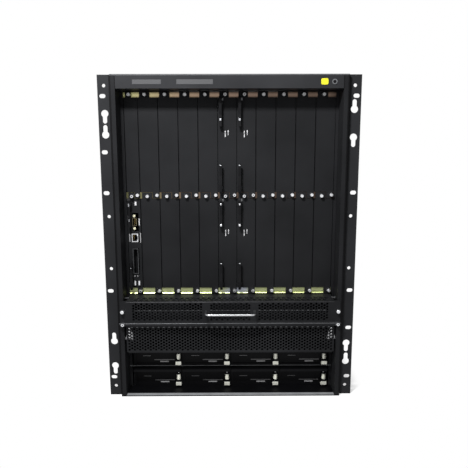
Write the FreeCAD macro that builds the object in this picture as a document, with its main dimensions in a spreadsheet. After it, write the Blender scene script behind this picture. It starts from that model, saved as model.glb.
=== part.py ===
import FreeCAD, Part
import Sketcher
import math
import os
import re

# Modular chassis switch, fourteen rack units high. Millimetres, +Z up, front towards -Y.
# The origin is on the underside, midway between the side walls and midway front to back.

doc = FreeCAD.newDocument("ModularChassisSwitch")

# Driving dimensions. Every sketch, pad and placement below is worked out from these.
DRIVING = {
    # rack frame
    "rack_unit": 44.45,
    "rack_units": 14,
    "height_allowance": 0.8,
    "rack_width": 482.6,
    "rack_hole_spacing": 465.1,
    "rack_slot_length": 11.5,
    "rack_slot_width": 7.5,
    "keyhole_offset": 229.5,
    "keyhole_head": 13.5,
    "keyhole_tail": 8,
    "keyhole_reach": 13.8,
    "pilot_hole": 6.4,
    "pilot_end": 19.2,
    "pilot_middle": 260,
    "keyhole_low": 61.8,
    "keyhole_lower": 112.7,
    "keyhole_upper": 514.1,
    "keyhole_high": 552.3,
    # sheet metal case
    "chassis_width": 434,
    "chassis_depth": 648,
    "sheet": 2,
    "hem": 12,
    "ear_setback": 9,
    "ear_return": 90,
    "post_face": 9.5,
    "post_depth": 45,
    "header_height": 23.2,
    "side_slot_width": 8,
    "side_slot_height": 40,
    "side_slot_pitch": 16,
    "side_slots": 11,
    "side_slot_start": 104,
    # card cage
    "management_pitch": 26.5,
    "interface_pitch": 38,
    "fabric_pitch": 36.5,
    "cage_floor": 199.5,
    "rail_height": 12,
    "top_rail_height": 10,
    "bay_height": 180.25,
    "rail_depth": 15,
    "panel_gap": 1,
    "flange_gap": 0.5,
    "tab_notch": 3,
    "lower_tab": 13.5,
    "management_lower_tab": 10.5,
    "panel_flange": 12,
    "flange_sheet": 1.2,
    "card_depth": 368,
    "guide_width": 7,
    "guide_height": 6,
    "guide_groove": 2.8,
    "board_thick": 1.6,
    "board_margin": 0.5,
    "fabric_board_inset": 29,
    "management_board_inset": 4,
    "midplane_thick": 5,
    "window_margin": 4,
    "window_height": 26,
    "connector_depth": 14,
    "connector_height": 34,
    "heat_sink": 56,
    "component_height": 12,
    "lamp_inset": 14.5,
    "lamp_pitch": 5.5,
    "lamp_drop": 67,
    "lamp_radius": 1.3,
    "seat_gap": 0.3,
    # captive screws
    "screw_head": 6.8,
    "screw_length": 8,
    "screw_rise": 5,
    "screw_inset_top": 14.5,
    "screw_inset_bottom": 4.5,
    "management_screw_inset": 11,
    # ejector levers
    "lever_inset": 5.5,
    "lever_width": 5,
    "lever_pivot_drop": 10,
    "lever_standoff": 8,
    "lever_toe": 12,
    "lever_handle": 44,
    "lever_half_depth": 5,
    "pin_radius": 1.5,
    "pin_clearance": 0.08,
    "cheek": 1.2,
    "cheek_gap": 0.2,
    "cheek_half": 3,
    "toe_relief": 2,
    "toe_root": 4,
    # management ports
    "port_inset": 15.75,
    "serial_height": 34,
    "serial_width": 10,
    "serial_rise": 133.5,
    "network_height": 17.5,
    "network_width": 13.5,
    "network_rise": 102,
    "card_slot_height": 51,
    "card_slot_width": 8.4,
    "card_slot_rise": 54,
    "port_depth": 14,
    "port_wall": 1,
    "eject_button": 3,
    "eject_button_height": 9,
    "eject_button_rise": 6,
    "eject_button_travel": 2,
    "eject_button_spacing": 8,
    "serial_tongue": 4,
    # fan tray
    "tray_half_width": 201.5,
    "tray_floor": 157,
    "tray_height": 41,
    "tray_sheet": 1.6,
    "fan_tray_length": 304,
    "fan_pitch": 127,
    "fan_bore": 110,
    "rotor_clearance": 2,
    "hub_radius": 20,
    "hub_height": 26,
    "stator_radius": 17,
    "stator_height": 4,
    "strut_width": 6,
    "blade_count": 5,
    "blade_thick": 2,
    "blade_chord": 24,
    "blade_pitch": 35,
    "handle_width": 95,
    "handle_reach": 25,
    "handle_rod": 4,
    "tray_tab_inset": 3,
    "tray_tab_height": 16,
    "post_screw_offset": 208.5,
    "hole_pitch": 12,
    "hole_size": 8.4,
    "hole_border": 4,
    "perforated_half": 193,
    "solid_strip": 10,
    "ledge_slot_length": 34,
    "ledge_slot_width": 9,
    "ledge_slot_pitch": 17,
    "ledge_slots": 22,
    "runner_width": 6,
    # filter tray
    "filter_half_width": 198,
    "filter_floor": 147.3,
    "filter_height": 6.4,
    "filter_length": 300,
    "filter_rim": 10,
    "filter_ledge": 5,
    "filter_lip": 9.4,
    "filter_media": 3,
    # intake and power bay
    "grille_setback": 7,
    "grille_foot": 15.5,
    "grille_top": 146,
    "grille_hole_pitch": 15,
    "grille_hole_size": 11,
    "psu_count": 4,
    "psu_pitch": 99.4,
    "psu_width": 97.2,
    "psu_height": 41.4,
    "psu_bezel": 16,
    "psu_bezel_height": 5,
    "latch_radius": 3.5,
    "latch_inset": 6.5,
    "latch_standoff": 6,
    "latch_barrel": 9.3,
    "latch_barrel_rise": 22,
    "latch_bracket": 10,
    "latch_bracket_height": 6.6,
    "latch_bracket_rise": 8.6,
    "face_recess": 1.5,
    "face_border": 4,
    # rear
    "rear_slot_width": 6,
    "rear_slot_height": 70,
    "rear_slot_pitch": 12,
    "rear_slots": 28,
    "inlet_width": 30,
    "inlet_height": 26,
    "inlet_depth": 28,
    "inlet_flange": 3,
    "inlet_wall": 3,
    "inlet_blade": 2,
    "inlet_rise": 22,
    "socket_ring": 9.5,
    "socket_barrel": 8.5,
    "socket_bore": 5,
    "socket_inset": 35,
    "socket_length": 14,
}

# Sizes that follow from the driving ones, as spreadsheet formulas.
DERIVED = {
    "chassis_height": "rack_unit * rack_units - height_allowance",
    "half_width": "chassis_width / 2",
    "inner_half": "half_width - sheet",
    "front": "-chassis_depth / 2",
    "rear": "chassis_depth / 2",
    "ear_plane": "front + ear_setback",
    "card_plane": "front + post_depth",
    "rail_plane": "card_plane + sheet",
    "post_half": "half_width - post_face",
    "cage_half": "management_pitch / 2 + interface_pitch * 4 + fabric_pitch",
    "lower_bay": "cage_floor + rail_height",
    "middle_rail": "lower_bay + bay_height",
    "upper_bay": "middle_rail + rail_height",
    "top_rail": "upper_bay + bay_height",
    "cage_roof": "top_rail + top_rail_height",
    "midplane_front": "card_plane + card_depth + seat_gap",
    "shelf_pitch": "rack_unit",
    "intake_floor": "sheet + shelf_pitch * 2",
    "tray_top": "tray_floor + tray_height",
}


def make_sheet():
    """Write the driving and the derived sizes to the document's spreadsheet."""
    cells = doc.addObject("Spreadsheet::Sheet", "Sizes")
    row = 1
    for alias, number in DRIVING.items():
        cells.set(f"A{row}", alias)
        cells.set(f"B{row}", str(number))
        cells.setAlias(f"B{row}", alias)
        row += 1
    doc.recompute()
    for alias, formula in DERIVED.items():
        cells.set(f"A{row}", alias)
        cells.set(f"B{row}", "=" + formula)
        cells.setAlias(f"B{row}", alias)
        row += 1
        doc.recompute()
    return cells


sheet = make_sheet()
NAMES = list(DRIVING) + list(DERIVED)


class Sizes:
    """The spreadsheet's cells as plain numbers, for shapes made with Part's functions."""

    def __getattr__(self, alias):
        return float(sheet.get(alias))


size = Sizes()


def bound(formula):
    """Point the size names in a formula at the spreadsheet."""
    return re.sub(r"[a-z_]+", lambda word: f"Sizes.{word[0]}" if word[0] in NAMES else word[0], str(formula))


def number(formula):
    """The present value of a formula of sizes."""
    return float(sheet.evalExpression(bound(formula)))


PLANES = {"top": "XY_Plane", "front": "XZ_Plane", "side": "YZ_Plane"}
pieces = []


def register(piece, label):
    """Give a finished sub-part its label and add it to the list that is written out."""
    piece.Label = label
    pieces.append(piece)
    return piece


def new_body(label):
    return register(doc.addObject("PartDesign::Body", label), label)


def fix_point(sketch, index, corner, across, up):
    """Hold one point of a sketch at two formulas from the origin."""
    for kind, formula in (("DistanceX", across), ("DistanceY", up)):
        held = sketch.addConstraint(Sketcher.Constraint(kind, -1, 1, index, corner, number(formula)))
        sketch.setExpression(f"Constraints[{held}]", bound(formula))


def new_sketch(body, name, plane, level, outlines=(), circles=()):
    """A sketch on one of the body's own planes, moved along the plane's normal by level.

    outlines are closed runs of corners and circles are centres with a radius, all as formulas.
    The front plane's normal is -Y, so its level is minus the depth that it stands at.
    """
    sketch = body.newObject("Sketcher::SketchObject", name)
    features = body.Origin.OriginFeatures
    sketch.AttachmentSupport = [(next(part for part in features if part.Role == PLANES[plane]), "")]
    sketch.MapMode = "FlatFace"
    sketch.setExpression("AttachmentOffset.Base.z", bound(level))
    for outline in outlines:
        corners = [FreeCAD.Vector(number(across), number(up), 0) for across, up in outline]
        first = sketch.GeometryCount
        for start, end in zip(corners, corners[1:] + corners[:1]):
            sketch.addGeometry(Part.LineSegment(start, end), False)
        for step in range(len(corners)):
            following = first + (step + 1) % len(corners)
            sketch.addConstraint(Sketcher.Constraint("Coincident", first + step, 2, following, 1))
            fix_point(sketch, first + step, 1, *outline[step])
    for across, up, radius in circles:
        centre = FreeCAD.Vector(number(across), number(up), 0)
        ring = sketch.addGeometry(Part.Circle(centre, FreeCAD.Vector(0, 0, 1), number(radius)), False)
        fix_point(sketch, ring, 3, across, up)
        held = sketch.addConstraint(Sketcher.Constraint("Radius", ring, number(radius)))
        sketch.setExpression(f"Constraints[{held}]", bound(radius))
    doc.recompute()
    return sketch


def pad(body, sketch, length):
    """Add material from the sketch along its plane's normal."""
    feature = body.newObject("PartDesign::Pad", sketch.Name + "_pad")
    feature.Profile = sketch
    feature.setExpression("Length", bound(length))
    doc.recompute()
    return feature


def pocket(body, sketch, depth):
    """Cut away from the sketch against its plane's normal, and make sure that it cut."""
    before = body.Shape.Volume
    feature = body.newObject("PartDesign::Pocket", sketch.Name + "_pocket")
    feature.Profile = sketch
    feature.setExpression("Length", bound(depth))
    doc.recompute()
    if body.Shape.Volume >= before:
        raise RuntimeError(f"{sketch.Name} cuts nothing from {body.Label}")
    return feature


def box_outline(left, right, bottom, top):
    return [(left, bottom), (right, bottom), (right, top), (left, top)]


def block(left, right, near, far, bottom, top):
    """A plain block between six limits, for shapes made with Part's functions."""
    corner = FreeCAD.Vector(left, near, bottom)
    return Part.makeBox(right - left, far - near, top - bottom, corner)


def feature_from(label, shape):
    """A sub-part whose shape is made with Part's functions."""
    piece = doc.addObject("Part::Feature", label)
    piece.Shape = shape
    piece.Placement = FreeCAD.Placement()
    return register(piece, label)


def obround(body, name, level, depth, centres, length, width):
    """Cut level slots with round ends: the straight parts first, then the ends."""
    straight = f"({length} - {width}) / 2"
    boxes = []
    ends = []
    for across, up in centres:
        boxes.append(box_outline(f"{across} - {straight}", f"{across} + {straight}",
                                 f"{up} - {width} / 2", f"{up} + {width} / 2"))
        ends.append((f"{across} - {straight}", up, f"{width} / 2"))
        ends.append((f"{across} + {straight}", up, f"{width} / 2"))
    pocket(body, new_sketch(body, name + "_straights", "front", level, boxes), depth)
    pocket(body, new_sketch(body, name + "_ends", "front", level, (), ends), depth)


def repeat(body, feature, sketch, axis, length, count):
    """Repeat a cut along one axis of its sketch."""
    row = body.newObject("PartDesign::LinearPattern", feature.Name + "_row")
    row.Originals = [feature]
    row.Direction = (sketch, [axis])
    row.setExpression("Length", bound(length))
    row.setExpression("Occurrences", bound(count))
    body.Tip = row
    doc.recompute()
    return row


# ---- case ---------------------------------------------------------------------------------


def side_wall(side, label):
    """One folded side wall: outer skin, front post, and the flange beside the cards."""
    body = new_body(label)
    corners = [
        ("half_width", "rear"),
        ("half_width", "front"),
        ("post_half", "front"),
        ("post_half", "card_plane"),
        ("cage_half + flange_gap", "card_plane"),
        ("cage_half + flange_gap", "rail_plane"),
        ("post_half + sheet", "rail_plane"),
        ("post_half + sheet", "front + sheet"),
        ("inner_half", "front + sheet"),
        ("inner_half", "rear"),
    ]
    outline = [(f"{side} * ({across})", along) for across, along in corners]
    section = new_sketch(body, label + "_section", "top", "sheet", [outline])
    pad(body, section, "chassis_height - sheet * 2")
    slot = box_outline("front + side_slot_start", "front + side_slot_start + side_slot_width",
                       "intake_floor + sheet", "intake_floor + sheet + side_slot_height")
    outside = "half_width" if side > 0 else "-inner_half"
    vent = new_sketch(body, label + "_vent", "side", outside, [slot])
    cut = pocket(body, vent, "sheet")
    repeat(body, cut, vent, "H_Axis", "side_slot_pitch * (side_slots - 1)", "side_slots")
    return body


def cover(label, level, hem_bottom, hem_top):
    """The top or bottom sheet, with a hem folded along the inside of each side wall."""
    body = new_body(label)
    plate = box_outline("-half_width", "half_width", level, f"{level} + sheet")
    pad(body, new_sketch(body, label + "_plate", "front", "-rear", [plate]), "chassis_depth")
    hems = [
        box_outline("-inner_half", "-inner_half + sheet", hem_bottom, hem_top),
        box_outline("inner_half - sheet", "inner_half", hem_bottom, hem_top),
    ]
    folded = new_sketch(body, label + "_hems", "front", "-(rear - sheet)", hems)
    pad(body, folded, "chassis_depth - sheet * 2")
    return body


def rack_ear(label):
    """An ear folded from sheet, with rack slots, keyholes and pilot holes."""
    body = new_body(label)
    corners = [
        ("-rack_width / 2", "ear_plane"),
        ("-half_width", "ear_plane"),
        ("-half_width", "ear_plane + ear_return"),
        ("-half_width - sheet", "ear_plane + ear_return"),
        ("-half_width - sheet", "ear_plane + sheet"),
        ("-rack_width / 2", "ear_plane + sheet"),
    ]
    pad(body, new_sketch(body, label + "_section", "top", "0", [corners]), "chassis_height")
    units = [(0, "sixth"), (4, "sixth"), (9, "first"), (10, "sixth"), (13, "first")]
    rise = {"first": "rack_unit / 7", "sixth": "rack_unit * 6 / 7"}
    rack_slots = []
    for unit, hole in units:
        rack_slots.append(("-rack_hole_spacing / 2", f"rack_unit * {unit} + {rise[hole]} - height_allowance / 2"))
    obround(body, label + "_slots", "-ear_plane", "sheet", rack_slots, "rack_slot_length", "rack_slot_width")
    heads = []
    tails = []
    tips = []
    for centre, tail in (("keyhole_low", -1), ("keyhole_lower", 1), ("keyhole_upper", 1), ("keyhole_high", -1)):
        tip = f"{centre} + {tail} * keyhole_reach"
        heads.append(("-keyhole_offset", centre, "keyhole_head / 2"))
        tips.append(("-keyhole_offset", tip, "keyhole_tail / 2"))
        ends = (centre, tip) if tail > 0 else (tip, centre)
        tails.append(box_outline("-keyhole_offset - keyhole_tail / 2", "-keyhole_offset + keyhole_tail / 2", *ends))
    for pilot in ("pilot_end", "pilot_middle", "chassis_height - pilot_middle", "chassis_height - pilot_end"):
        heads.append(("-keyhole_offset", pilot, "pilot_hole / 2"))
    pocket(body, new_sketch(body, label + "_heads", "front", "-ear_plane", (), heads), "sheet")
    pocket(body, new_sketch(body, label + "_tails", "front", "-ear_plane", tails), "sheet")
    pocket(body, new_sketch(body, label + "_tips", "front", "-ear_plane", (), tips), "sheet")
    return body


side_wall(-1, "side_wall_left")
side_wall(1, "side_wall_right")
cover("top_cover", "chassis_height - sheet", "chassis_height - sheet - hem", "chassis_height - sheet")
cover("bottom_pan", "0", "sheet", "sheet + hem")
rack_ear("rack_ear_left")
right_ear = rack_ear("rack_ear_right")
half_turn = FreeCAD.Rotation(FreeCAD.Vector(0, 1, 0), 180)
right_ear.Placement = FreeCAD.Placement(FreeCAD.Vector(0, 0, size.chassis_height), half_turn)
right_ear.setExpression("Placement.Base.z", bound("chassis_height"))

header = new_body("header_bar")
header_bottom = "chassis_height - sheet - header_height"
header_section = [
    ("front", header_bottom),
    ("card_plane", header_bottom),
    ("card_plane", f"{header_bottom} + sheet"),
    ("front + sheet", f"{header_bottom} + sheet"),
    ("front + sheet", "chassis_height - sheet * 2"),
    ("card_plane", "chassis_height - sheet * 2"),
    ("card_plane", "chassis_height - sheet"),
    ("front", "chassis_height - sheet"),
]
pad(header, new_sketch(header, "header_section", "side", "-post_half", [header_section]), "post_half * 2")
socket_centre = ("post_half - socket_inset / 2", f"{header_bottom} + header_height / 2")
socket_hole = new_sketch(header, "header_socket_hole", "front", "-front", (),
                         [(*socket_centre, "socket_barrel / 2")])
pocket(header, socket_hole, "sheet")

socket = new_body("esd_socket")
barrel = new_sketch(socket, "socket_barrel", "front", "-(front + socket_length)", (),
                    [(*socket_centre, "socket_barrel / 2 - pin_clearance")])
pad(socket, barrel, "socket_length")
flange = new_sketch(socket, "socket_flange", "front", "-front", (), [(*socket_centre, "socket_ring / 2")])
pad(socket, flange, "flange_sheet")
bore = new_sketch(socket, "socket_bore", "front", "-(front - flange_sheet)", (), [(*socket_centre, "socket_bore / 2")])
pocket(socket, bore, "socket_length")

# ---- card cage ----------------------------------------------------------------------------

COLUMNS = ["management"] + ["interface"] * 4 + ["fabric"] * 2 + ["interface"] * 4
BAYS = {"lower": ("lower_bay", "middle_rail"), "upper": ("upper_bay", "top_rail")}


def column_edge(index):
    """The left edge of a card column, as a formula."""
    passed = [f"{kind}_pitch" for kind in COLUMNS[:index]]
    return "(" + " + ".join(["-cage_half"] + passed) + ")"


def panel_limits(index, bay):
    """Left, right, bottom and top of a card's front panel, as formulas."""
    floor, roof = BAYS[bay]
    return (f"({column_edge(index)} + panel_gap / 2)", f"({column_edge(index + 1)} - panel_gap / 2)",
            f"({floor} + panel_gap / 2)", f"({roof} - panel_gap / 2)")


def tab_widths(index):
    """Widths of a panel's upper and lower tab, which pass each other at the rails."""
    lower = "management_lower_tab" if COLUMNS[index] == "management" else "lower_tab"
    return f"({COLUMNS[index]}_pitch - panel_gap * 2 - tab_notch - {lower})", lower


def panel_outline(index, bay):
    """A front panel with one tab up at its left and one tab down at its right."""
    left, right, bottom, top = panel_limits(index, bay)
    upper, lower = tab_widths(index)
    return [
        (left, bottom),
        (f"{right} - {lower}", bottom),
        (f"{right} - {lower}", f"{bottom} - rail_height"),
        (right, f"{bottom} - rail_height"),
        (right, top),
        (f"{left} + tab_notch + {upper}", top),
        (f"{left} + tab_notch + {upper}", f"{top} + rail_height"),
        (f"{left} + tab_notch", f"{top} + rail_height"),
        (f"{left} + tab_notch", top),
        (left, top),
    ]


def panel_screws_of(index, bay):
    """Centres of a panel's two captive screws, as formulas."""
    floor, roof = BAYS[bay]
    inset = "management_screw_inset" if COLUMNS[index] == "management" else "screw_inset_top"
    return [(f"{column_edge(index)} + {inset}", f"{roof} + screw_rise"),
            (f"{column_edge(index + 1)} - screw_inset_bottom", f"{floor} - screw_rise")]


def channel(bottom, top):
    """One rail across the cage: a web behind the card panels and two flanges going back."""
    near = size.rail_plane
    far = near + size.rail_depth
    web = near + size.sheet
    corners = [(near, bottom), (far, bottom), (far, bottom + size.sheet), (web, bottom + size.sheet),
               (web, top - size.sheet), (far, top - size.sheet), (far, top), (near, top)]
    points = [FreeCAD.Vector(-size.inner_half, along, up) for along, up in corners]
    face = Part.Face(Part.makePolygon(points + points[:1]))
    return face.extrude(FreeCAD.Vector(size.inner_half * 2, 0, 0))


rails = [channel(size.cage_floor, size.lower_bay), channel(size.middle_rail, size.upper_bay),
         channel(size.top_rail, size.cage_roof)]
feature_from("card_rails", Part.makeCompound(rails))


def board_inset(index):
    return size.management_board_inset if COLUMNS[index] == "management" else size.fabric_board_inset


def card_guide(index, level, facing):
    """A grooved guide for one edge of a board; facing is +1 where the groove opens upwards."""
    middle = number(column_edge(index)) + board_inset(index) + size.board_thick / 2
    half = size.guide_width / 2
    slot = size.board_thick / 2 + size.seat_gap
    edge = level + facing * (size.board_margin - size.seat_gap + size.guide_groove)
    back = edge - facing * size.guide_height
    groove = edge - facing * size.guide_groove
    corners = [(-half, back), (half, back), (half, edge), (slot, edge),
               (slot, groove), (-slot, groove), (-slot, edge), (-half, edge)]
    near = size.rail_plane + size.rail_depth
    points = [FreeCAD.Vector(middle + across, near, up) for across, up in corners]
    face = Part.Face(Part.makePolygon(points + points[:1]))
    return face.extrude(FreeCAD.Vector(0, size.midplane_front - near, 0))


guides = []
for index in range(len(COLUMNS)):
    for floor, roof in BAYS.values():
        guides.append(card_guide(index, number(floor), 1))
        guides.append(card_guide(index, number(roof), -1))
feature_from("card_guides", Part.makeCompound(guides))

midplane = new_body("midplane_board")
midplane_plate = box_outline("-(inner_half - sheet)", "inner_half - sheet", "sheet", "cage_roof")
midplane_front = new_sketch(midplane, "midplane_plate", "front", "-(midplane_front + midplane_thick)", [midplane_plate])
pad(midplane, midplane_front, "midplane_thick")
windows = []
for index in range(len(COLUMNS)):
    left, right, bottom, top = panel_limits(index, "upper")
    windows.append(box_outline(f"{left} + window_margin", f"{right} - window_margin",
                               f"{top} - window_margin - window_height", f"{top} - window_margin"))
pocket(midplane, new_sketch(midplane, "midplane_windows", "front", "-midplane_front", windows), "midplane_thick")


def filler_panel(index, bay):
    """A blank panel: the tabbed plate with a flange folded back along each side."""
    points = [FreeCAD.Vector(number(across), size.rail_plane, number(up)) for across, up in panel_outline(index, bay)]
    plate = Part.Face(Part.makePolygon(points + points[:1])).extrude(FreeCAD.Vector(0, -size.sheet, 0))
    left, right, bottom, top = [number(limit) for limit in panel_limits(index, bay)]
    near = size.rail_plane
    far = near + size.panel_flange
    flanges = [block(left, left + size.flange_sheet, near, far, bottom, top),
               block(right - size.flange_sheet, right, near, far, bottom, top)]
    return plate.fuse(flanges).removeSplitter()


def screw_head(across, up, plane):
    return Part.makeCylinder(size.screw_head / 2, size.screw_length,
                             FreeCAD.Vector(across, plane, up), FreeCAD.Vector(0, -1, 0))


filled = {
    "lower": [index for index, kind in enumerate(COLUMNS) if kind == "interface"],
    "upper": [index for index, kind in enumerate(COLUMNS) if kind != "fabric"],
}
heads = []
for bay, indexes in filled.items():
    feature_from(bay + "_fillers", Part.makeCompound([filler_panel(index, bay) for index in indexes]))
    for index in indexes:
        for across, up in panel_screws_of(index, bay):
            heads.append(screw_head(number(across), number(up), size.card_plane))
feature_from("panel_screws", Part.makeCompound(heads))

# ---- card modules -------------------------------------------------------------------------


def lever_place(index, bay, end):
    """Left face of an ejector lever and the height of its pivot; end is +1 at the top."""
    left, right, bottom, top = panel_limits(index, bay)
    near = f"({column_edge(index)} + lever_inset - lever_width / 2)"
    pivot = f"({top} - lever_pivot_drop)" if end > 0 else f"({bottom} + lever_pivot_drop)"
    return near, pivot


def module_panel(label, index, bay):
    """A card's front panel: tabbed plate, side flanges, captive screws and lever brackets."""
    body = new_body(label)
    left, right, bottom, top = panel_limits(index, bay)
    pad(body, new_sketch(body, label + "_plate", "front", "-rail_plane", [panel_outline(index, bay)]), "sheet")
    folds = [box_outline(left, f"{left} + flange_sheet", bottom, top),
             box_outline(f"{right} - flange_sheet", right, bottom, top)]
    pad(body, new_sketch(body, label + "_flanges", "front", "-(rail_plane + panel_flange)", folds), "panel_flange")
    screws = [(across, up, "screw_head / 2") for across, up in panel_screws_of(index, bay)]
    pad(body, new_sketch(body, label + "_screws", "front", "-card_plane", (), screws), "screw_length")
    cheeks = []
    holes = []
    for end in (-1, 1):
        near, pivot = lever_place(index, bay, end)
        low, high = f"{pivot} - cheek_half", f"{pivot} + cheek_half"
        inner = f"{near} - cheek_gap"
        outer = f"{near} + lever_width + cheek_gap"
        cheeks.append(box_outline(f"{inner} - cheek", inner, low, high))
        cheeks.append(box_outline(outer, f"{outer} + cheek", low, high))
        holes.append(("card_plane - lever_standoff", pivot, "pin_radius + pin_clearance"))
    pad(body, new_sketch(body, label + "_cheeks", "front", "-card_plane", cheeks), "lever_standoff + cheek_half")
    across = f"{near} + lever_width + cheek_gap + cheek"
    pins = new_sketch(body, label + "_pin_holes", "side", across, (), holes)
    pocket(body, pins, "lever_width + (cheek_gap + cheek) * 2")
    return body


def ejector(label, index, bay, end):
    """A lever with a cam toe past its pivot pin and a long finger handle."""
    body = new_body(label)
    near, pivot = lever_place(index, bay, end)
    back = "card_plane - lever_standoff + lever_half_depth"
    centre = "card_plane - lever_standoff"
    front = "card_plane - lever_standoff - lever_half_depth"
    corners = [
        (f"{centre} - toe_relief", "lever_toe"),
        (back, "toe_root"),
        (back, "-(lever_handle - lever_half_depth)"),
        (centre, "-lever_handle"),
        (front, "-lever_handle"),
        (f"{front} + toe_relief", "-(lever_handle / 2)"),
        (front, "-toe_root"),
        (front, "lever_toe - toe_root"),
        (f"{front} + toe_relief", "lever_toe"),
    ]
    outline = [(along, f"{pivot} + {end} * ({up})") for along, up in corners]
    pad(body, new_sketch(body, label + "_profile", "side", near, [outline]), "lever_width")
    pin_start = f"{near} - cheek_gap - cheek"
    pin = new_sketch(body, label + "_pin", "side", pin_start, (), [(centre, pivot, "pin_radius")])
    pad(body, pin, "lever_width + (cheek_gap + cheek) * 2")
    return body


def card_board(label, index, bay, side):
    """A circuit board on its edge, with heat sinks and the connectors that meet the midplane.

    side is -1 where the parts stand on the board's left face and +1 on its right.
    """
    body = new_body(label)
    floor, roof = BAYS[bay]
    level = f"({column_edge(index)} + {COLUMNS[index]}_board_inset)"
    far = "card_plane + card_depth"
    plate = box_outline("rail_plane", far, f"{floor} + board_margin", f"{roof} - board_margin")
    pad(body, new_sketch(body, label + "_board", "side", level, [plate]), "board_thick")
    parts = []
    for step in (1, 2, 3):
        middle = f"{floor} + bay_height * {step} / 4"
        parts.append(box_outline(f"{far} - connector_depth", far,
                                 f"{middle} - connector_height / 2", f"{middle} + connector_height / 2"))
    for step in (1, 2):
        middle = f"{floor} + bay_height * {step} / 3"
        along = f"card_plane + card_depth * {step} / 3"
        parts.append(box_outline(f"{along} - heat_sink / 2", f"{along} + heat_sink / 2",
                                 f"{middle} - heat_sink / 2", f"{middle} + heat_sink / 2"))
    foot = f"{level} + board_thick" if side > 0 else f"{level} - component_height"
    tall = new_sketch(body, label + "_parts", "side", foot, parts)
    pad(body, tall, "component_height")
    return body


fabric_places = []
for bay in ("upper", "lower"):
    for index, kind in enumerate(COLUMNS):
        if kind == "fabric":
            fabric_places.append((index, bay))
for count, (index, bay) in enumerate(fabric_places, 1):
    panel = module_panel(f"fabric_panel_{count}", index, bay)
    lamps = []
    left, right, bottom, top = panel_limits(index, bay)
    for across in ("lamp_inset", "lamp_inset + lamp_pitch"):
        lamps.append((f"{column_edge(index)} + {across}", f"{top} - lamp_drop", "lamp_radius"))
    pocket(panel, new_sketch(panel, panel.Label + "_lamps", "front", "-card_plane", (), lamps), "sheet")
    card_board(f"fabric_board_{count}", index, bay, -1)
    ejector(f"fabric_upper_ejector_{count}", index, bay, 1)
    ejector(f"fabric_lower_ejector_{count}", index, bay, -1)

management = module_panel("management_panel", 0, "lower")
card_board("management_board", 0, "lower", 1)
ejector("management_upper_ejector", 0, "lower", 1)
ejector("management_lower_ejector", 0, "lower", -1)
port_middle = f"({column_edge(0)} + port_inset)"
panel_bottom = panel_limits(0, "lower")[2]
PORTS = ("serial", "network", "card_slot")


def port_outline(port, grow):
    half = f"({port}_width / 2 + {grow})"
    reach = f"({port}_height / 2 + {grow})"
    rise = f"{panel_bottom} + {port}_rise"
    return box_outline(f"{port_middle} - {half}", f"{port_middle} + {half}", f"{rise} - {reach}", f"{rise} + {reach}")


openings = [port_outline(port, "port_wall + seat_gap / 3") for port in PORTS]
buttons = {}
for name, side in (("left", -1), ("right", 1)):
    across = f"({port_middle} + {side} * eject_button_spacing / 2)"
    up = f"({panel_bottom} + eject_button_rise + eject_button_height / 2)"
    buttons[name] = (across, up)


def button_outline(name, grow):
    across, up = buttons[name]
    half = f"(eject_button / 2 + {grow})"
    reach = f"(eject_button_height / 2 + {grow})"
    return box_outline(f"{across} - {half}", f"{across} + {half}", f"{up} - {reach}", f"{up} + {reach}")


openings += [button_outline(name, "seat_gap") for name in buttons]
pocket(management, new_sketch(management, "management_openings", "front", "-card_plane", openings), "sheet")

ports = []
for port in PORTS:
    shell = [number(value) for corner in port_outline(port, "port_wall")[::2] for value in corner]
    hole = [number(value) for corner in port_outline(port, "0")[::2] for value in corner]
    near = size.card_plane - size.port_wall
    far = size.rail_plane + size.port_depth
    outer = block(shell[0], shell[2], near, far, shell[1], shell[3])
    inner = block(hole[0], hole[2], near, far - size.port_wall, hole[1], hole[3])
    port_shell = outer.cut(inner)
    if port == "serial":
        middle = (hole[0] + hole[2]) / 2
        rise = (hole[1] + hole[3]) / 2
        tongue = block(middle - size.serial_tongue / 2, middle + size.serial_tongue / 2, near + size.port_wall,
                       far - size.port_wall, hole[1] + size.serial_tongue, hole[3] - size.serial_tongue)
        port_shell = port_shell.fuse(tongue)
    ports.append(port_shell)
feature_from("management_ports", Part.makeCompound(ports))
for name in buttons:
    body = new_body(f"card_eject_button_{name}")
    shape = new_sketch(body, body.Label + "_cap", "front", "-(rail_plane + port_depth)", [button_outline(name, "0")])
    pad(body, shape, "port_depth + sheet + eject_button_travel * 2")

# ---- fan tray -----------------------------------------------------------------------------

fan_rows = ["(card_plane + fan_pitch / 2)", "(card_plane + fan_pitch * 3 / 2)"]
fan_centres = [(f"(fan_pitch * {across})", row) for row in fan_rows for across in (-1, 0, 1)]

tray = doc.addObject("PartDesign::Body", "fan_tray_case")
tube = [box_outline("-tray_half_width", "tray_half_width", "tray_floor", "tray_top")]
hollow = [box_outline("-tray_half_width + tray_sheet", "tray_half_width - tray_sheet",
                      "tray_floor + tray_sheet", "tray_top - tray_sheet")]
pad(tray, new_sketch(tray, "tray_tube", "front", "-(front + fan_tray_length)", tube), "fan_tray_length")
pocket(tray, new_sketch(tray, "tray_hollow", "front", "-front", hollow), "fan_tray_length - tray_sheet")
shrouds = [(across, along, "fan_bore / 2 + tray_sheet") for across, along in fan_centres]
pad(tray, new_sketch(tray, "tray_shrouds", "top", "tray_floor", (), shrouds), "tray_height")
bores = [(across, along, "fan_bore / 2") for across, along in fan_centres]
pocket(tray, new_sketch(tray, "tray_bores", "top", "tray_top", (), bores), "tray_height")
struts = [box_outline("-tray_half_width", "tray_half_width", f"{row} - strut_width / 2", f"{row} + strut_width / 2")
          for row in fan_rows]
pad(tray, new_sketch(tray, "tray_struts", "top", "tray_floor", struts), "tray_sheet")
stators = [(across, along, "stator_radius") for across, along in fan_centres]
pad(tray, new_sketch(tray, "tray_stators", "top", "tray_floor", (), stators), "stator_height")
tab_middle = "(tray_floor + tray_height / 2)"
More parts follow.
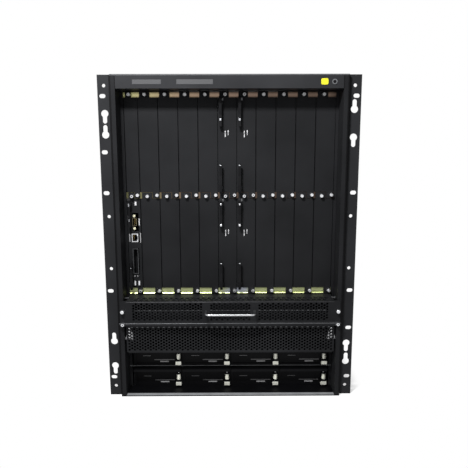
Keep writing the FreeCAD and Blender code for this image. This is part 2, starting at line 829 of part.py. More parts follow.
face = [
    ("-tray_half_width", "tray_floor"),
    ("tray_half_width", "tray_floor"),
    ("tray_half_width", f"{tab_middle} - tray_tab_height / 2"),
    ("half_width - tray_tab_inset", f"{tab_middle} - tray_tab_height / 2"),
    ("half_width - tray_tab_inset", f"{tab_middle} + tray_tab_height / 2"),
    ("tray_half_width", f"{tab_middle} + tray_tab_height / 2"),
    ("tray_half_width", "tray_top"),
    ("-tray_half_width", "tray_top"),
    ("-tray_half_width", f"{tab_middle} + tray_tab_height / 2"),
    ("-half_width + tray_tab_inset", f"{tab_middle} + tray_tab_height / 2"),
    ("-half_width + tray_tab_inset", f"{tab_middle} - tray_tab_height / 2"),
    ("-tray_half_width", f"{tab_middle} - tray_tab_height / 2"),
]
pad(tray, new_sketch(tray, "tray_face", "front", "-front", [face]), "tray_sheet")
tray_screws = [(f"{side} * post_screw_offset", tab_middle, "screw_head / 2") for side in (-1, 1)]
tray_front = "-(front - tray_sheet)"
pad(tray, new_sketch(tray, "tray_screws", "front", tray_front, (), tray_screws), "screw_length")
ledge_slot = box_outline("-ledge_slot_width / 2", "ledge_slot_width / 2",
                         "(front + card_plane) / 2 - ledge_slot_length / 2",
                         "(front + card_plane) / 2 + ledge_slot_length / 2")
ledge_slot = [(f"{across} - ledge_slot_pitch * (ledge_slots - 1) / 2", along) for across, along in ledge_slot]
ledge = new_sketch(tray, "tray_ledge_slot", "top", "tray_top", [ledge_slot])
ledge_cut = pocket(tray, ledge, "tray_sheet")
repeat(tray, ledge_cut, ledge, "H_Axis", "ledge_slot_pitch * (ledge_slots - 1)", "ledge_slots")


def perforation(half_width, bottom, top, pitch, across_flats, near, depth, solid_strips=()):
    """Six-sided holes in staggered columns, as one tool that is cut from a front plate."""
    column_pitch = pitch * math.sqrt(3) / 2
    radius = across_flats / math.sqrt(3)
    columns = math.floor((half_width - radius) / column_pitch)
    tools = []
    for column in range(-columns, columns + 1):
        across = column * column_pitch
        if any(abs(abs(across) - strip) < size.solid_strip / 2 + radius for strip in solid_strips):
            continue
        lift = pitch / 4 if column % 2 else -pitch / 4
        rows = math.floor(((top - bottom) / 2 - across_flats / 2) / pitch)
        for row in range(-rows - 1, rows + 2):
            up = (bottom + top) / 2 + row * pitch + lift
            if up - across_flats / 2 < bottom or up + across_flats / 2 > top:
                continue
            points = []
            for corner in range(7):
                turn = math.radians(60 * corner)
                points.append(FreeCAD.Vector(across + radius * math.cos(turn), near, up + radius * math.sin(turn)))
            tools.append(Part.Face(Part.makePolygon(points)).extrude(FreeCAD.Vector(0, depth, 0)))
    return Part.makeCompound(tools)


def perforated(base, label, tools):
    """Cut the holes from a finished body."""
    punch = doc.addObject("Part::Feature", label + "_punch")
    punch.Shape = tools
    cut = doc.addObject("Part::Cut", label)
    cut.Base = base
    cut.Tool = punch
    doc.recompute()
    return register(cut, label)


face_front = size.front - size.tray_sheet
perforated(tray, "fan_tray", perforation(size.perforated_half, size.tray_floor + size.hole_border,
                                         size.tray_top - size.hole_border, size.hole_pitch, size.hole_size,
                                         face_front, size.tray_sheet, [size.handle_width / 2]))


def fan_handle():
    """A round bar bent into a pull, its feet square on the tray's face."""
    half = size.handle_width / 2
    bend = size.handle_rod * 2
    reach = face_front - size.handle_reach
    up = size.tray_floor + size.tray_height / 2

    def at(across, along):
        return FreeCAD.Vector(across, along, up)

    edges = [Part.LineSegment(at(-half, face_front), at(-half, reach + bend))]
    slack = bend * (1 - math.sqrt(0.5))
    edges.append(Part.Arc(at(-half, reach + bend), at(-half + slack, reach + slack), at(-half + bend, reach)))
    edges.append(Part.LineSegment(at(-half + bend, reach), at(half - bend, reach)))
    edges.append(Part.Arc(at(half - bend, reach), at(half - slack, reach + slack), at(half, reach + bend)))
    edges.append(Part.LineSegment(at(half, reach + bend), at(half, face_front)))
    path = Part.Wire([edge.toShape() for edge in edges])
    section = Part.Wire(Part.makeCircle(size.handle_rod / 2, at(-half, face_front), FreeCAD.Vector(0, -1, 0)))
    return path.makePipeShell([section], True, False)


feature_from("fan_tray_handle", fan_handle())


def fan_rotor(across, along):
    """A hub with pitched blades, standing just clear of its stator."""
    base = size.tray_floor + size.stator_height + size.seat_gap
    root = size.hub_radius - size.blade_thick
    tip = size.fan_bore / 2 - size.rotor_clearance
    hub = Part.makeCylinder(size.hub_radius, size.hub_height, FreeCAD.Vector(across, along, base))
    middle = FreeCAD.Vector(across, along, base + size.hub_height / 2)
    blades = []
    for blade in range(int(size.blade_count)):
        plate = Part.makeBox(tip - root, size.blade_chord, size.blade_thick,
                             middle + FreeCAD.Vector(root, -size.blade_chord / 2, -size.blade_thick / 2))
        plate.rotate(middle, FreeCAD.Vector(1, 0, 0), size.blade_pitch)
        plate.rotate(middle, FreeCAD.Vector(0, 0, 1), 360 * blade / size.blade_count)
        blades.append(plate)
    return hub.fuse(blades)


for count, (across, along) in enumerate(fan_centres, 1):
    feature_from(f"fan_rotor_{count}", fan_rotor(number(across), number(along)))

# ---- filter tray and intake -----------------------------------------------------------------

filter_tray = new_body("filter_tray")
block_outline = box_outline("-filter_half_width", "filter_half_width", "front", "front + filter_length")
pad(filter_tray, new_sketch(filter_tray, "filter_block", "top", "filter_floor", [block_outline]), "filter_height")
for name, rim, depth in (("filter_seat", "filter_rim", "filter_height - flange_sheet"),
                         ("filter_window", "filter_rim + filter_ledge", "filter_height")):
    inside = box_outline(f"-filter_half_width + {rim}", f"filter_half_width - ({rim})",
                         f"front + {rim}", f"front + filter_length - ({rim})")
    pocket(filter_tray, new_sketch(filter_tray, name, "top", "filter_floor + filter_height", [inside]), depth)
rib = box_outline("-strut_width / 2", "strut_width / 2", "front + filter_rim", "front + filter_length - filter_rim")
pad(filter_tray, new_sketch(filter_tray, "filter_rib", "top", "filter_floor", [rib]), "flange_sheet")
lip = [box_outline("-half_width + tray_tab_inset", "half_width - tray_tab_inset",
                   "filter_floor", "filter_floor + filter_lip")]
pad(filter_tray, new_sketch(filter_tray, "filter_lip", "front", "-front", lip), "tray_sheet")
lip_screws = [(f"{side} * post_screw_offset", "filter_floor + filter_lip / 2", "screw_head / 2") for side in (-1, 1)]
pad(filter_tray, new_sketch(filter_tray, "filter_screws", "front", tray_front, (), lip_screws), "screw_length")

media = new_body("air_filter")
media_edge = box_outline("-filter_half_width + filter_rim + seat_gap", "filter_half_width - filter_rim - seat_gap",
                         "front + filter_rim + seat_gap", "front + filter_length - filter_rim - seat_gap")
pad(media, new_sketch(media, "media", "top", "filter_floor + flange_sheet", [media_edge]), "filter_media")

runner_profile = [
    ("inner_half", "filter_floor - seat_gap - flange_sheet"),
    ("filter_half_width - runner_width", "filter_floor - seat_gap - flange_sheet"),
    ("filter_half_width - runner_width", "filter_floor - seat_gap"),
    ("inner_half - flange_sheet", "filter_floor - seat_gap"),
    ("inner_half - flange_sheet", "tray_floor - seat_gap - flange_sheet"),
    ("tray_half_width - runner_width", "tray_floor - seat_gap - flange_sheet"),
    ("tray_half_width - runner_width", "tray_floor - seat_gap"),
    ("inner_half", "tray_floor - seat_gap"),
]
runners = []
for side in (-1, 1):
    points = [FreeCAD.Vector(side * number(across), size.rail_plane, number(up)) for across, up in runner_profile]
    edge = Part.Face(Part.makePolygon(points + points[:1]))
    runners.append(edge.extrude(FreeCAD.Vector(0, size.front + size.fan_tray_length - size.rail_plane, 0)))
feature_from("tray_runners", Part.makeCompound(runners))

shelf = new_body("power_shelf")
deck = [
    ("-cage_half", "front + grille_setback"),
    ("cage_half", "front + grille_setback"),
    ("cage_half", "rail_plane"),
    ("inner_half", "rail_plane"),
    ("inner_half", "card_plane + card_depth"),
    ("-inner_half", "card_plane + card_depth"),
    ("-inner_half", "rail_plane"),
    ("-cage_half", "rail_plane"),
]
pad(shelf, new_sketch(shelf, "shelf_deck", "top", "shelf_pitch * 2", [deck]), "sheet")
walls = [box_outline(f"psu_pitch * {step} - flange_sheet / 2", f"psu_pitch * {step} + flange_sheet / 2",
                     "sheet", "shelf_pitch * 2") for step in (-2, -1, 0, 1, 2)]
pad(shelf, new_sketch(shelf, "shelf_walls", "front", "-(card_plane + card_depth)", walls), "card_depth")
middle = [box_outline("-inner_half", "inner_half", "shelf_pitch", "shelf_pitch + sheet")]
pad(shelf, new_sketch(shelf, "shelf_middle", "front", "-(card_plane + card_depth)", middle), "card_depth - sheet")

grille = doc.addObject("PartDesign::Body", "intake_grille_plate")
grille_section = [
    ("front + grille_setback", "intake_floor"),
    ("front + grille_setback + grille_foot", "intake_floor"),
    ("front + grille_setback + grille_foot", "intake_floor + sheet"),
    ("front + grille_setback + sheet", "intake_floor + sheet"),
    ("front + grille_setback + sheet", "grille_top"),
    ("front + grille_setback", "grille_top"),
]
pad(grille, new_sketch(grille, "grille_section", "side", "-filter_half_width", [grille_section]), "filter_half_width * 2")
perforated(grille, "intake_grille", perforation(size.filter_half_width - size.hole_border,
                                                size.intake_floor + size.sheet, size.grille_top - size.hole_border / 2,
                                                size.grille_hole_pitch, size.grille_hole_size,
                                                size.front + size.grille_setback, size.sheet))

# ---- power supplies ---------------------------------------------------------------------------


def psu_centre(column):
    return f"(psu_pitch * {column - 1.5})"


def power_supply(label, column, level):
    """One slide-in supply: case, recessed face, pull ledge and the plunger latch at its right."""
    body = new_body(label)
    centre = psu_centre(column)
    left = f"({centre} - psu_width / 2)"
    right = f"({centre} + psu_width / 2)"
    floor = f"(sheet + shelf_pitch * {level} + seat_gap)"
    top = f"({floor} + psu_height)"
    case = [box_outline(left, right, floor, top)]
    pad(body, new_sketch(body, label + "_case", "front", "-(card_plane + card_depth)", case), "card_depth")
    face = [box_outline(f"{left} + face_border", f"{right} - face_border", f"{floor} + face_border",
                        f"{top} - psu_bezel_height - face_border / 2")]
    pocket(body, new_sketch(body, label + "_face", "front", "-card_plane", face), "face_recess")
    ledge = [box_outline(left, right, f"{top} - psu_bezel_height", top)]
    pad(body, new_sketch(body, label + "_ledge", "front", "-card_plane", ledge), "psu_bezel")
    latch = f"({right} - latch_inset)"
    along = "card_plane - latch_standoff"
    foot = [box_outline(f"{latch} - latch_bracket / 2", f"{latch} + latch_bracket / 2",
                        f"{floor} + latch_bracket_rise", f"{floor} + latch_bracket_rise + latch_bracket_height")]
    bracket = new_sketch(body, label + "_bracket", "front", "-(card_plane + face_recess)", foot)
    pad(body, bracket, "face_recess + latch_standoff + latch_radius")
    pin_start = f"{floor} + latch_bracket_rise / 2"
    pin = new_sketch(body, label + "_pin", "top", pin_start, (), [(latch, along, "pin_radius")])
    pad(body, pin, "psu_height - psu_bezel_height - latch_bracket_rise / 2")
    barrel = new_sketch(body, label + "_barrel", "top", f"{floor} + latch_barrel_rise", (),
                        [(latch, along, "latch_radius")])
    pad(body, barrel, "latch_barrel")
    return body


supply = 0
for level in (1, 0):
    for column in range(int(size.psu_count)):
        supply += 1
        power_supply(f"power_supply_{supply}", column, level)

# ---- rear --------------------------------------------------------------------------------------

rear_panel = new_body("rear_panel")
rear_plate = [box_outline("-inner_half", "inner_half", "sheet", "chassis_height - sheet")]
pad(rear_panel, new_sketch(rear_panel, "rear_plate", "front", "-rear", rear_plate), "sheet")
exhaust = box_outline("-rear_slot_pitch * (rear_slots - 1) / 2 - rear_slot_width / 2",
                      "-rear_slot_pitch * (rear_slots - 1) / 2 + rear_slot_width / 2",
                      "cage_roof - rear_slot_height", "cage_roof")
rear_face = "-(rear - sheet)"
exhaust_sketch = new_sketch(rear_panel, "rear_exhaust", "front", rear_face, [exhaust])
exhaust_cut = pocket(rear_panel, exhaust_sketch, "sheet")
repeat(rear_panel, exhaust_cut, exhaust_sketch, "H_Axis", "rear_slot_pitch * (rear_slots - 1)", "rear_slots")
inlet_places = []
for level in (1, 0):
    for column in range(int(size.psu_count)):
        inlet_places.append((psu_centre(column), f"(sheet + shelf_pitch * {level} + inlet_rise)"))
inlet_holes = []
for across, up in inlet_places:
    inlet_holes.append(box_outline(f"{across} - inlet_width / 2", f"{across} + inlet_width / 2",
                                   f"{up} - inlet_height / 2", f"{up} + inlet_height / 2"))
pocket(rear_panel, new_sketch(rear_panel, "rear_inlets", "front", rear_face, inlet_holes), "sheet")


def power_inlet(across, up):
    """A panel inlet: flange, moulded body and three contact blades in its well."""
    half = size.inlet_width / 2 - size.seat_gap
    rise = size.inlet_height / 2 - size.seat_gap
    flange = size.inlet_flange
    far = size.rear + flange
    body = block(across - half, across + half, far - size.inlet_depth, far, up - rise, up + rise)
    rim = block(across - half - flange, across + half + flange, size.rear, far, up - rise - flange, up + rise + flange)
    well = block(across - half + size.inlet_wall, across + half - size.inlet_wall, size.rear - size.inlet_depth / 2, far,
                 up - rise + size.inlet_wall, up + rise - size.inlet_wall)
    shell = body.fuse(rim).cut(well)
    blades = []
    for offset, lift in ((-half / 2, -rise / 4), (0, rise / 4), (half / 2, -rise / 4)):
        middle = across + offset
        blades.append(block(middle - size.inlet_blade / 2, middle + size.inlet_blade / 2,
                            size.rear - size.inlet_depth / 2, size.rear,
                            up + lift - size.inlet_blade, up + lift + size.inlet_blade))
    return shell.fuse(blades)


inlets = [power_inlet(number(across), number(up)) for across, up in inlet_places]
feature_from("power_inlets", Part.makeCompound(inlets))

# ---- check and write ----------------------------------------------------------------------------

doc.recompute()
for item in doc.Objects:
    if {"Invalid", "Error"} & set(item.State):
        raise RuntimeError(f"{item.Label} did not build")
os.makedirs("parts", exist_ok=True)
for piece in pieces:
    if piece.Shape.isNull() or not piece.Shape.isValid():
        raise RuntimeError(f"{piece.Label} has no valid shape")
    piece.Shape.exportStep(f"parts/{piece.Label}.step")
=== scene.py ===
"""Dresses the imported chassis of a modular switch: finishes, fine perforation, screws, ports, marks and stage."""

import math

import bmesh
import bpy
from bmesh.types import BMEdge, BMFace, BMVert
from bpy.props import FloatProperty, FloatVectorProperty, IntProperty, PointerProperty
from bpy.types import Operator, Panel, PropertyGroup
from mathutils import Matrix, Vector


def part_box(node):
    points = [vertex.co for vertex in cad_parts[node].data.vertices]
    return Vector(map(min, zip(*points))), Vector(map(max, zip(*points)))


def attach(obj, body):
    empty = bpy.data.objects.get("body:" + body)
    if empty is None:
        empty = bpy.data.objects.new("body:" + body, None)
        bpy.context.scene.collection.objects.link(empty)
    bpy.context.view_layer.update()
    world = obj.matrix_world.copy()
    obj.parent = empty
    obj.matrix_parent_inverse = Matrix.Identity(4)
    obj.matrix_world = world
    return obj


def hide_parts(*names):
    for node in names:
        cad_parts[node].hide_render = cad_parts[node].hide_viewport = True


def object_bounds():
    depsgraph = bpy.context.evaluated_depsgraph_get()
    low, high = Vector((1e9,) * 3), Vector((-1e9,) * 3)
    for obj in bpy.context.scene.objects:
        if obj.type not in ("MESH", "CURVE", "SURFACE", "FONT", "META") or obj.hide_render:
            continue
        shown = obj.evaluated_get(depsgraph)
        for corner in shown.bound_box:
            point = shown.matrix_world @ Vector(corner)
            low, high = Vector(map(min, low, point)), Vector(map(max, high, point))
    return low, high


bl_info = {
    "name": "Modular chassis switch",
    "version": (1, 0, 0),
    "blender": (4, 5, 0),
    "location": "View3D > Sidebar > Chassis",
    "description": "Finishes, fine perforation, screw heads, ports and marks for a rack-mounted switch chassis",
    "category": "Object",
}

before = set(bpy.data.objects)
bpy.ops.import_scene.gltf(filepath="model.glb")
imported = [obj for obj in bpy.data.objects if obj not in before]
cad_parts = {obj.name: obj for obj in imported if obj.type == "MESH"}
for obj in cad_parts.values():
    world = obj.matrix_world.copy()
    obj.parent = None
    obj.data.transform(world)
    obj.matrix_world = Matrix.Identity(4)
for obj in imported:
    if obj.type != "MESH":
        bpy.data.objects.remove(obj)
cad_low, cad_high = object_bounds()

# The header, ears, trays and intake grille take lighter copies of the black paint, which is painted light. The power
# supplies and bottom pan take a near-black copy, which is painted shade.
OWN_FINISH = {
    "power_supply": "supply_black",
    "bottom_pan": "supply_black",
    "header_bar": "header_black",
    "rack_ear_left": "ear_black",
    "rack_ear_right": "ear_black",
    "esd_socket": "dull_edge",
    "fan_tray_handle": "pull_steel",
    "filter_tray": "grille_black",
}
FABRIC_MODULES = (1, 2, 3, 4)
SUPPLIES = range(1, 9)
SIDES = (-1, 1)
FORWARD = (0, -1, 0)
UPWARD = (0, 0, 1)
UPRIGHT = Matrix.Rotation(math.radians(90), 4, "X")
# Metres: how far two faces that would coincide are kept apart, how far a fitting goes into its
# panel, the height of a panel's upper tab, the part of a panel's edge that carries no seal, and
# how far the fan tray's face reaches past the tray on either side.
LAP = 0.0001
ROOT = 0.0005
TOP_TAB = 0.012
FLANGE = 0.013
TRAY_TAB = 0.0125


# ---- settings ----


def number(name, description, default, unit="NONE", **limits):
    """A number that a user may change."""
    return FloatProperty(name=name, description=description, default=default, unit=unit, **limits)


def length(name, description, default):
    """A size in metres that a user may change."""
    return number(name, description, default, "LENGTH", min=0)


def colour(name, description, default):
    """A surface colour that a user may change."""
    return FloatVectorProperty(name=name, description=description, default=default, size=3, min=0, max=1,
                               subtype="COLOR")


class ChassisFinishes(PropertyGroup):
    """Colours of the paint, plating, plastic and print."""

    powder_black: colour("Powder black", "Satin powder coat on the sheet metal", (0.016, 0.0164, 0.0178))
    # Near-black copy of the powder coat: painted shade on the power supplies' fronts and the bottom pan, and on the
    # strips along the seams.
    supply_black: colour("Supply black", "Fronts of the power supplies", (0.002, 0.002, 0.0026))
    zinc_gold: colour("Zinc gold", "Yellow chromate on the foot rail", (0.88, 0.95, 0.49))
    zinc_pale: colour("Zinc pale", "Bluish bloom in the middle of the foot rail", (0.72, 0.76, 0.86))
    zinc_green: colour("Zinc green", "Left end of the upper rails", (0.58, 0.57, 0.27))
    zinc_rose: colour("Zinc rose", "Middle of the upper rails", (0.5, 0.36, 0.24))
    zinc_brown: colour("Zinc brown", "Right end of the upper rails", (0.3, 0.21, 0.16))
    pale_brass: colour("Pale brass", "Jack posts of the serial port", (0.86, 0.84, 0.62))
    bright_zinc: colour("Bright zinc", "Screw heads, pull and latches", (0.8, 0.81, 0.83))
    dull_plate: colour("Dull plate", "Inside sheet metal and port shells", (0.42, 0.43, 0.45))
    moulded_black: colour("Moulded black", "Levers, rotors and inlets", (0.009, 0.009, 0.01))
    guide_grey: colour("Guide grey", "Moulded card guides", (0.14, 0.14, 0.15))
    solder_green: colour("Solder green", "Solder mask of the boards", (0.02, 0.13, 0.06))
    copper: colour("Copper", "Tracks under the solder mask", (0.055, 0.26, 0.11))
    foam_grey: colour("Foam grey", "Open-cell air filter", (0.06, 0.06, 0.062))
    print_white: colour("Print white", "Plain printed bars", (0.8, 0.8, 0.82))
    faint_print: colour("Faint print", "Worn printed bars", (0.17, 0.17, 0.175))
    header_plate: colour("Header plate", "Bare plates on the header", (0.04, 0.041, 0.045))
    # Bare metal on the painted hems paints the highlight along their edges; the paint is not rubbed through.
    worn_edge: colour("Worn edge", "Rubbed paint on the hems", (0.038, 0.038, 0.04))
    olive_plate: colour("Olive plate", "Shell of the serial port", (0.16, 0.14, 0.09))
    latch_zinc: colour("Latch zinc", "Plated latches of the power supplies", (0.95, 0.96, 0.84))
    patch_yellow: colour("Patch yellow", "Bare patch on the header", (0.85, 0.8, 0.02))
    contact_gold: colour("Contact gold", "Contacts in the ports", (0.83, 0.6, 0.22))


class ChassisDetail(PropertyGroup):
    """Sizes of the fine detail."""

    column_pitch: length("Column pitch", "Distance between neighbouring columns of fine holes", 0.00525)
    hole_pitch: length("Hole pitch", "Distance between the intake's holes in a column", 0.0061)
    tray_pitch: length("Tray pitch", "Distance between the fan tray's holes in a column", 0.0056)
    hole_width: length("Hole width", "Diameter of a round hole", 0.0048)
    hole_sides: IntProperty(name="Hole sides", description="Edges round one hole", default=12, min=8, max=24)
    tray_sheet: length("Tray sheet", "Thickness of the fan tray's sheet", 0.0016)
    ledge_pitch: length("Ledge pitch", "Distance between holes on top of the fan tray", 0.0105)
    ledge_hole: length("Ledge hole", "Diameter of a hole on top of the fan tray", 0.0084)
    ledge_depth: length("Ledge depth", "Pierced strip on top of the fan tray", 0.0425)
    tray_border: length("Tray border", "Plain edge round the fan tray's holes", 0.003)
    handle_strip: length("Handle strip", "Plain strip behind each foot of the pull", 0.008)
    hem_radius: length("Hem radius", "Rounding of the trays' front edges", 0.0008)
    screw_radius: length("Screw radius", "Outside radius of a captive screw's head", 0.0036)
    head_length: length("Head length", "Length of a captive screw's head", 0.0082)
    head_chamfer: length("Head chamfer", "Slope round the end of a head", 0.0007)
    cross_depth: length("Cross depth", "Depth of the crossed recess in a head", 0.0012)
    grip_depth: length("Grip depth", "Depth of the flutes round a head", 0.00016)
    top_row_depth: length("Top row depth", "Depth below the rails' top of the screws in the header's shade", 0.014)
    print_height: length("Print height", "Thickness of a printed bar", 0.00012)
    bar_width: length("Bar width", "Width of a printed bar", 0.0014)


class ChassisStage(PropertyGroup):
    """Camera and light."""

    camera_side: number("Camera side", "Camera's place across the front", 0.0024, "LENGTH")
    camera_front: number("Camera front", "Camera's place along the depth", -1.33, "LENGTH")
    camera_height: number("Camera height", "Camera's height", 0.5063, "LENGTH")
    camera_tilt: number("Camera tilt", "How far the camera looks down", math.radians(10), "ROTATION")
    camera_turn: number("Camera turn", "How far the camera looks to the right", 0.005, "ROTATION")
    camera_roll: number("Camera roll", "Turn about the line of sight", -0.002, "ROTATION")
    focal_length: number("Focal length", "Lens on a 36 mm sensor", 41.5)
    key_power: number("Key power", "Watts of the soft light above the front", 12.0)
    fill_power: number("Fill power", "Watts of the soft light from the left", 2.5)
    sky_level: number("Sky level", "Even light from all round", 0.15)


def finishes():
    return bpy.context.scene.chassis_finishes


def detail():
    return bpy.context.scene.chassis_detail


def stage():
    return bpy.context.scene.chassis_stage


# ---- materials ----


def tone(tint, factor):
    """The colour made lighter or darker."""
    return tuple(min(1.0, channel * factor) for channel in tint)


def fill(tree, node, inputs):
    """Set a node's inputs, or link those that take another node's output."""
    for socket, value in inputs.items():
        if isinstance(value, bpy.types.NodeSocket):
            tree.links.new(value, node.inputs[socket])
        else:
            node.inputs[socket].default_value = value
    return node


def add_node(tree, kind, inputs=None, **settings):
    """A new node with its settings and inputs."""
    node = tree.nodes.new(kind)
    for name, value in settings.items():
        setattr(node, name, value)
    return fill(tree, node, inputs or {})


def calculate(tree, operation, *values):
    """The result of a sum on numbers."""
    return add_node(tree, "ShaderNodeMath", dict(enumerate(values)), operation=operation).outputs["Value"]


class Finish:
    """A material built from nodes on object coordinates."""

    def __init__(self, name, tint, metallic, roughness):
        self.material = bpy.data.materials.new(name)
        self.material.use_nodes = True
        self.tree = self.material.node_tree
        self.shader = self.tree.nodes["Principled BSDF"]
        self.set({"Base Color": (*tint, 1), "Metallic": metallic, "Roughness": roughness})
        self.place = self.node("ShaderNodeTexCoord").outputs["Object"]

    def node(self, kind, inputs=None, **settings):
        return add_node(self.tree, kind, inputs, **settings)

    def set(self, inputs):
        """Set or link inputs of the surface."""
        fill(self.tree, self.shader, inputs)

    def mapped(self, **inputs):
        """Object coordinates, stretched or turned."""
        return self.node("ShaderNodeMapping", {**inputs, "Vector": self.place}).outputs["Vector"]

    def noise(self, scale, octaves=2.0, vector=None):
        """Soft noise from 0 to 1; scale is in cells per metre."""
        inputs = {"Scale": scale, "Detail": octaves, "Vector": vector or self.place}
        return self.node("ShaderNodeTexNoise", inputs).outputs["Fac"]

    def ramp(self, factor, stops):
        """A colour that runs through the stops, (position, colour), as factor rises."""
        node = self.node("ShaderNodeValToRGB", {"Fac": factor})
        elements = node.color_ramp.elements
        while len(elements) < len(stops):
            elements.new(1)
        for element, (position, tint) in zip(elements, stops):
            element.position = position
            element.color = (*tint, 1)
        return node.outputs["Color"]

    def level(self, factor, low, high, start=0, end=1):
        """A number that goes from low to high as factor goes from start to end."""
        inputs = {"From Min": start, "From Max": end, "To Min": low, "To Max": high, "Value": factor}
        return self.node("ShaderNodeMapRange", inputs).outputs["Result"]

    def mix(self, factor, first, second, **settings):
        """A colour mixed from two."""
        inputs = {"Factor": factor, "A": first, "B": second}
        return self.node("ShaderNodeMix", inputs, data_type="RGBA", **settings).outputs["Result"]

    def cloud(self, tint, factor, darker, lighter, start=0.35, end=0.65):
        """Run the colour from a darker tone of tint to a lighter one with factor."""
        self.set({"Base Color": self.ramp(factor, [(start, tone(tint, darker)), (end, tone(tint, lighter))])})

    def bump(self, height, strength, distance):
        """Raise the surface by height, by at most distance metres."""
        inputs = {"Strength": strength, "Distance": distance, "Height": height}
        self.set({"Normal": self.node("ShaderNodeBump", inputs).outputs["Normal"]})


def powder_coat(name, tint, roughness=0.5, gloss=0.05):
    """Sprayed powder paint: orange-peel skin, slight cloudiness and a soft sheen."""
    coat = Finish(name, tint, 0, roughness)
    coat.cloud(tint, coat.noise(9, 3), 0.86, 1.16)
    coat.set({"Specular IOR Level": gloss,
              "Roughness": coat.level(coat.noise(60, 3), roughness - 0.07, roughness + 0.07)})
    coat.bump(coat.noise(900), 0.25, 0.00006)
    return coat.material


def yellow_zinc(name, colours):
    """Yellow chromate on zinc: its bloom drifts across the rails. A painted shade by height darkens the foot rail's
    rolled top, the middle rail and the top rail's upper and lower edges.
    """
    plate = Finish(name, colours.zinc_gold, 1, 0.3)
    split = plate.node("ShaderNodeSeparateXYZ", {"Vector": plate.place})
    clouds = plate.noise(14, 2, plate.mapped(Scale=(1, 1, 2.5)))
    drift = plate.level(split.outputs["X"], 0, 1, -0.2, 0.2)
    across = calculate(plate.tree, "MULTIPLY_ADD", clouds, 0.24, drift)
    gold, pale, brown = colours.zinc_gold, colours.zinc_pale, colours.zinc_brown
    upper = plate.ramp(across, [(0.12, colours.zinc_green), (0.34, colours.zinc_rose), (0.62, brown),
                                (1, tone(brown, 0.6))])
    foot = plate.ramp(across, [(0.1, gold), (0.54, gold), (0.6, pale), (0.7, pale), (0.78, gold), (1, gold)])
    bloom = plate.mix(plate.level(split.outputs["Z"], 0, 1, 0.3, 0.36), foot, upper)
    # Painted shade and light by height: the foot rail darkens where its roll turns back, the middle rail is dimmed, and
    # the top rail is lit in its middle and dark at its edges under the header.
    bottom, reach = 0.195, 0.4
    painted_shades = ((0.203, 1), (0.206, 1), (0.209, 0.6), (0.2115, 0.08), (0.39, 0.35), (0.405, 0.35),
              (0.5845, 0.25), (0.5865, 0.85), (0.589, 1), (0.5915, 0.8), (0.594, 0.2))
    shade = plate.ramp(plate.level(split.outputs["Z"], 0, 1, bottom, bottom + reach),
                       [((up - bottom) / reach, (grey,) * 3) for up, grey in painted_shades])
    plate.set({"Base Color": plate.mix(1, bloom, shade, blend_type="MULTIPLY"),
               "Roughness": plate.level(plate.noise(70, 4), 0.26, 0.42)})
    plate.bump(plate.noise(400, 3), 0.15, 0.00005)
    return plate.material


def plated_steel(name, tint, roughness, metallic=1):
    """Plated steel with fine rolling lines and small changes of shine."""
    steel = Finish(name, tint, metallic, roughness)
    lines = steel.noise(60, 3, steel.mapped(Scale=(1, 1, 40)))
    steel.cloud(tint, steel.noise(45, 3), 0.9, 1.08)
    steel.set({"Roughness": steel.level(lines, roughness - 0.06, roughness + 0.1)})
    steel.bump(lines, 0.12, 0.00004)
    return steel.material


def moulded_plastic(name, tint, roughness=0.45):
    """Spark-eroded moulding grain."""
    plastic = Finish(name, tint, 0, roughness)
    grain = plastic.noise(1500)
    plastic.cloud(tint, plastic.noise(30), 0.9, 1.12)
    plastic.set({"Specular IOR Level": 0.06, "Roughness": plastic.level(grain, roughness - 0.06, roughness + 0.08)})
    plastic.bump(grain, 0.2, 0.00004)
    return plastic.material


def circuit_board(name, colours):
    """Green solder mask over a grid of tracks."""
    board = Finish(name, colours.solder_green, 0, 0.28)
    tracks = board.node("ShaderNodeTexBrick", {
        "Scale": 160, "Mortar Size": 0.045, "Brick Width": 1.1, "Row Height": 0.22,
        "Color1": (*colours.solder_green, 1), "Color2": (*tone(colours.solder_green, 1.3), 1),
        "Mortar": (*colours.copper, 1), "Vector": board.mapped(Rotation=(0, math.radians(90), 0))})
    board.set({"Base Color": tracks.outputs["Color"]})
    board.bump(tracks.outputs["Fac"], 0.3, 0.00005)
    return board.material


def filter_foam(name, tint):
    """Open-cell foam: small dark cells between pale strands."""
    foam = Finish(name, tint, 0, 0.9)
    cells = foam.node("ShaderNodeTexVoronoi", {"Scale": 520, "Vector": foam.place}).outputs["Distance"]
    foam.cloud(tint, cells, 0.25, 1.3, 0.1, 0.6)
    foam.bump(cells, 0.6, 0.0006)
    return foam.material


def printed_ink(name, tint):
    """Screen print: nearly even, with thin patches."""
    ink = Finish(name, tint, 0, 0.55)
    ink.cloud(tint, ink.noise(700, 3), 0.72, 1.08)
    ink.bump(ink.noise(1200), 0.15, 0.00003)
    return ink.material


def lamp_lens(name, tint):
    """A clear moulded light pipe, unlit."""
    lens = Finish(name, tint, 0, 0.22)
    lens.cloud(tint, lens.noise(900), 0.85, 1.1)
    lens.set({"Coat Weight": 0.2})
    return lens.material


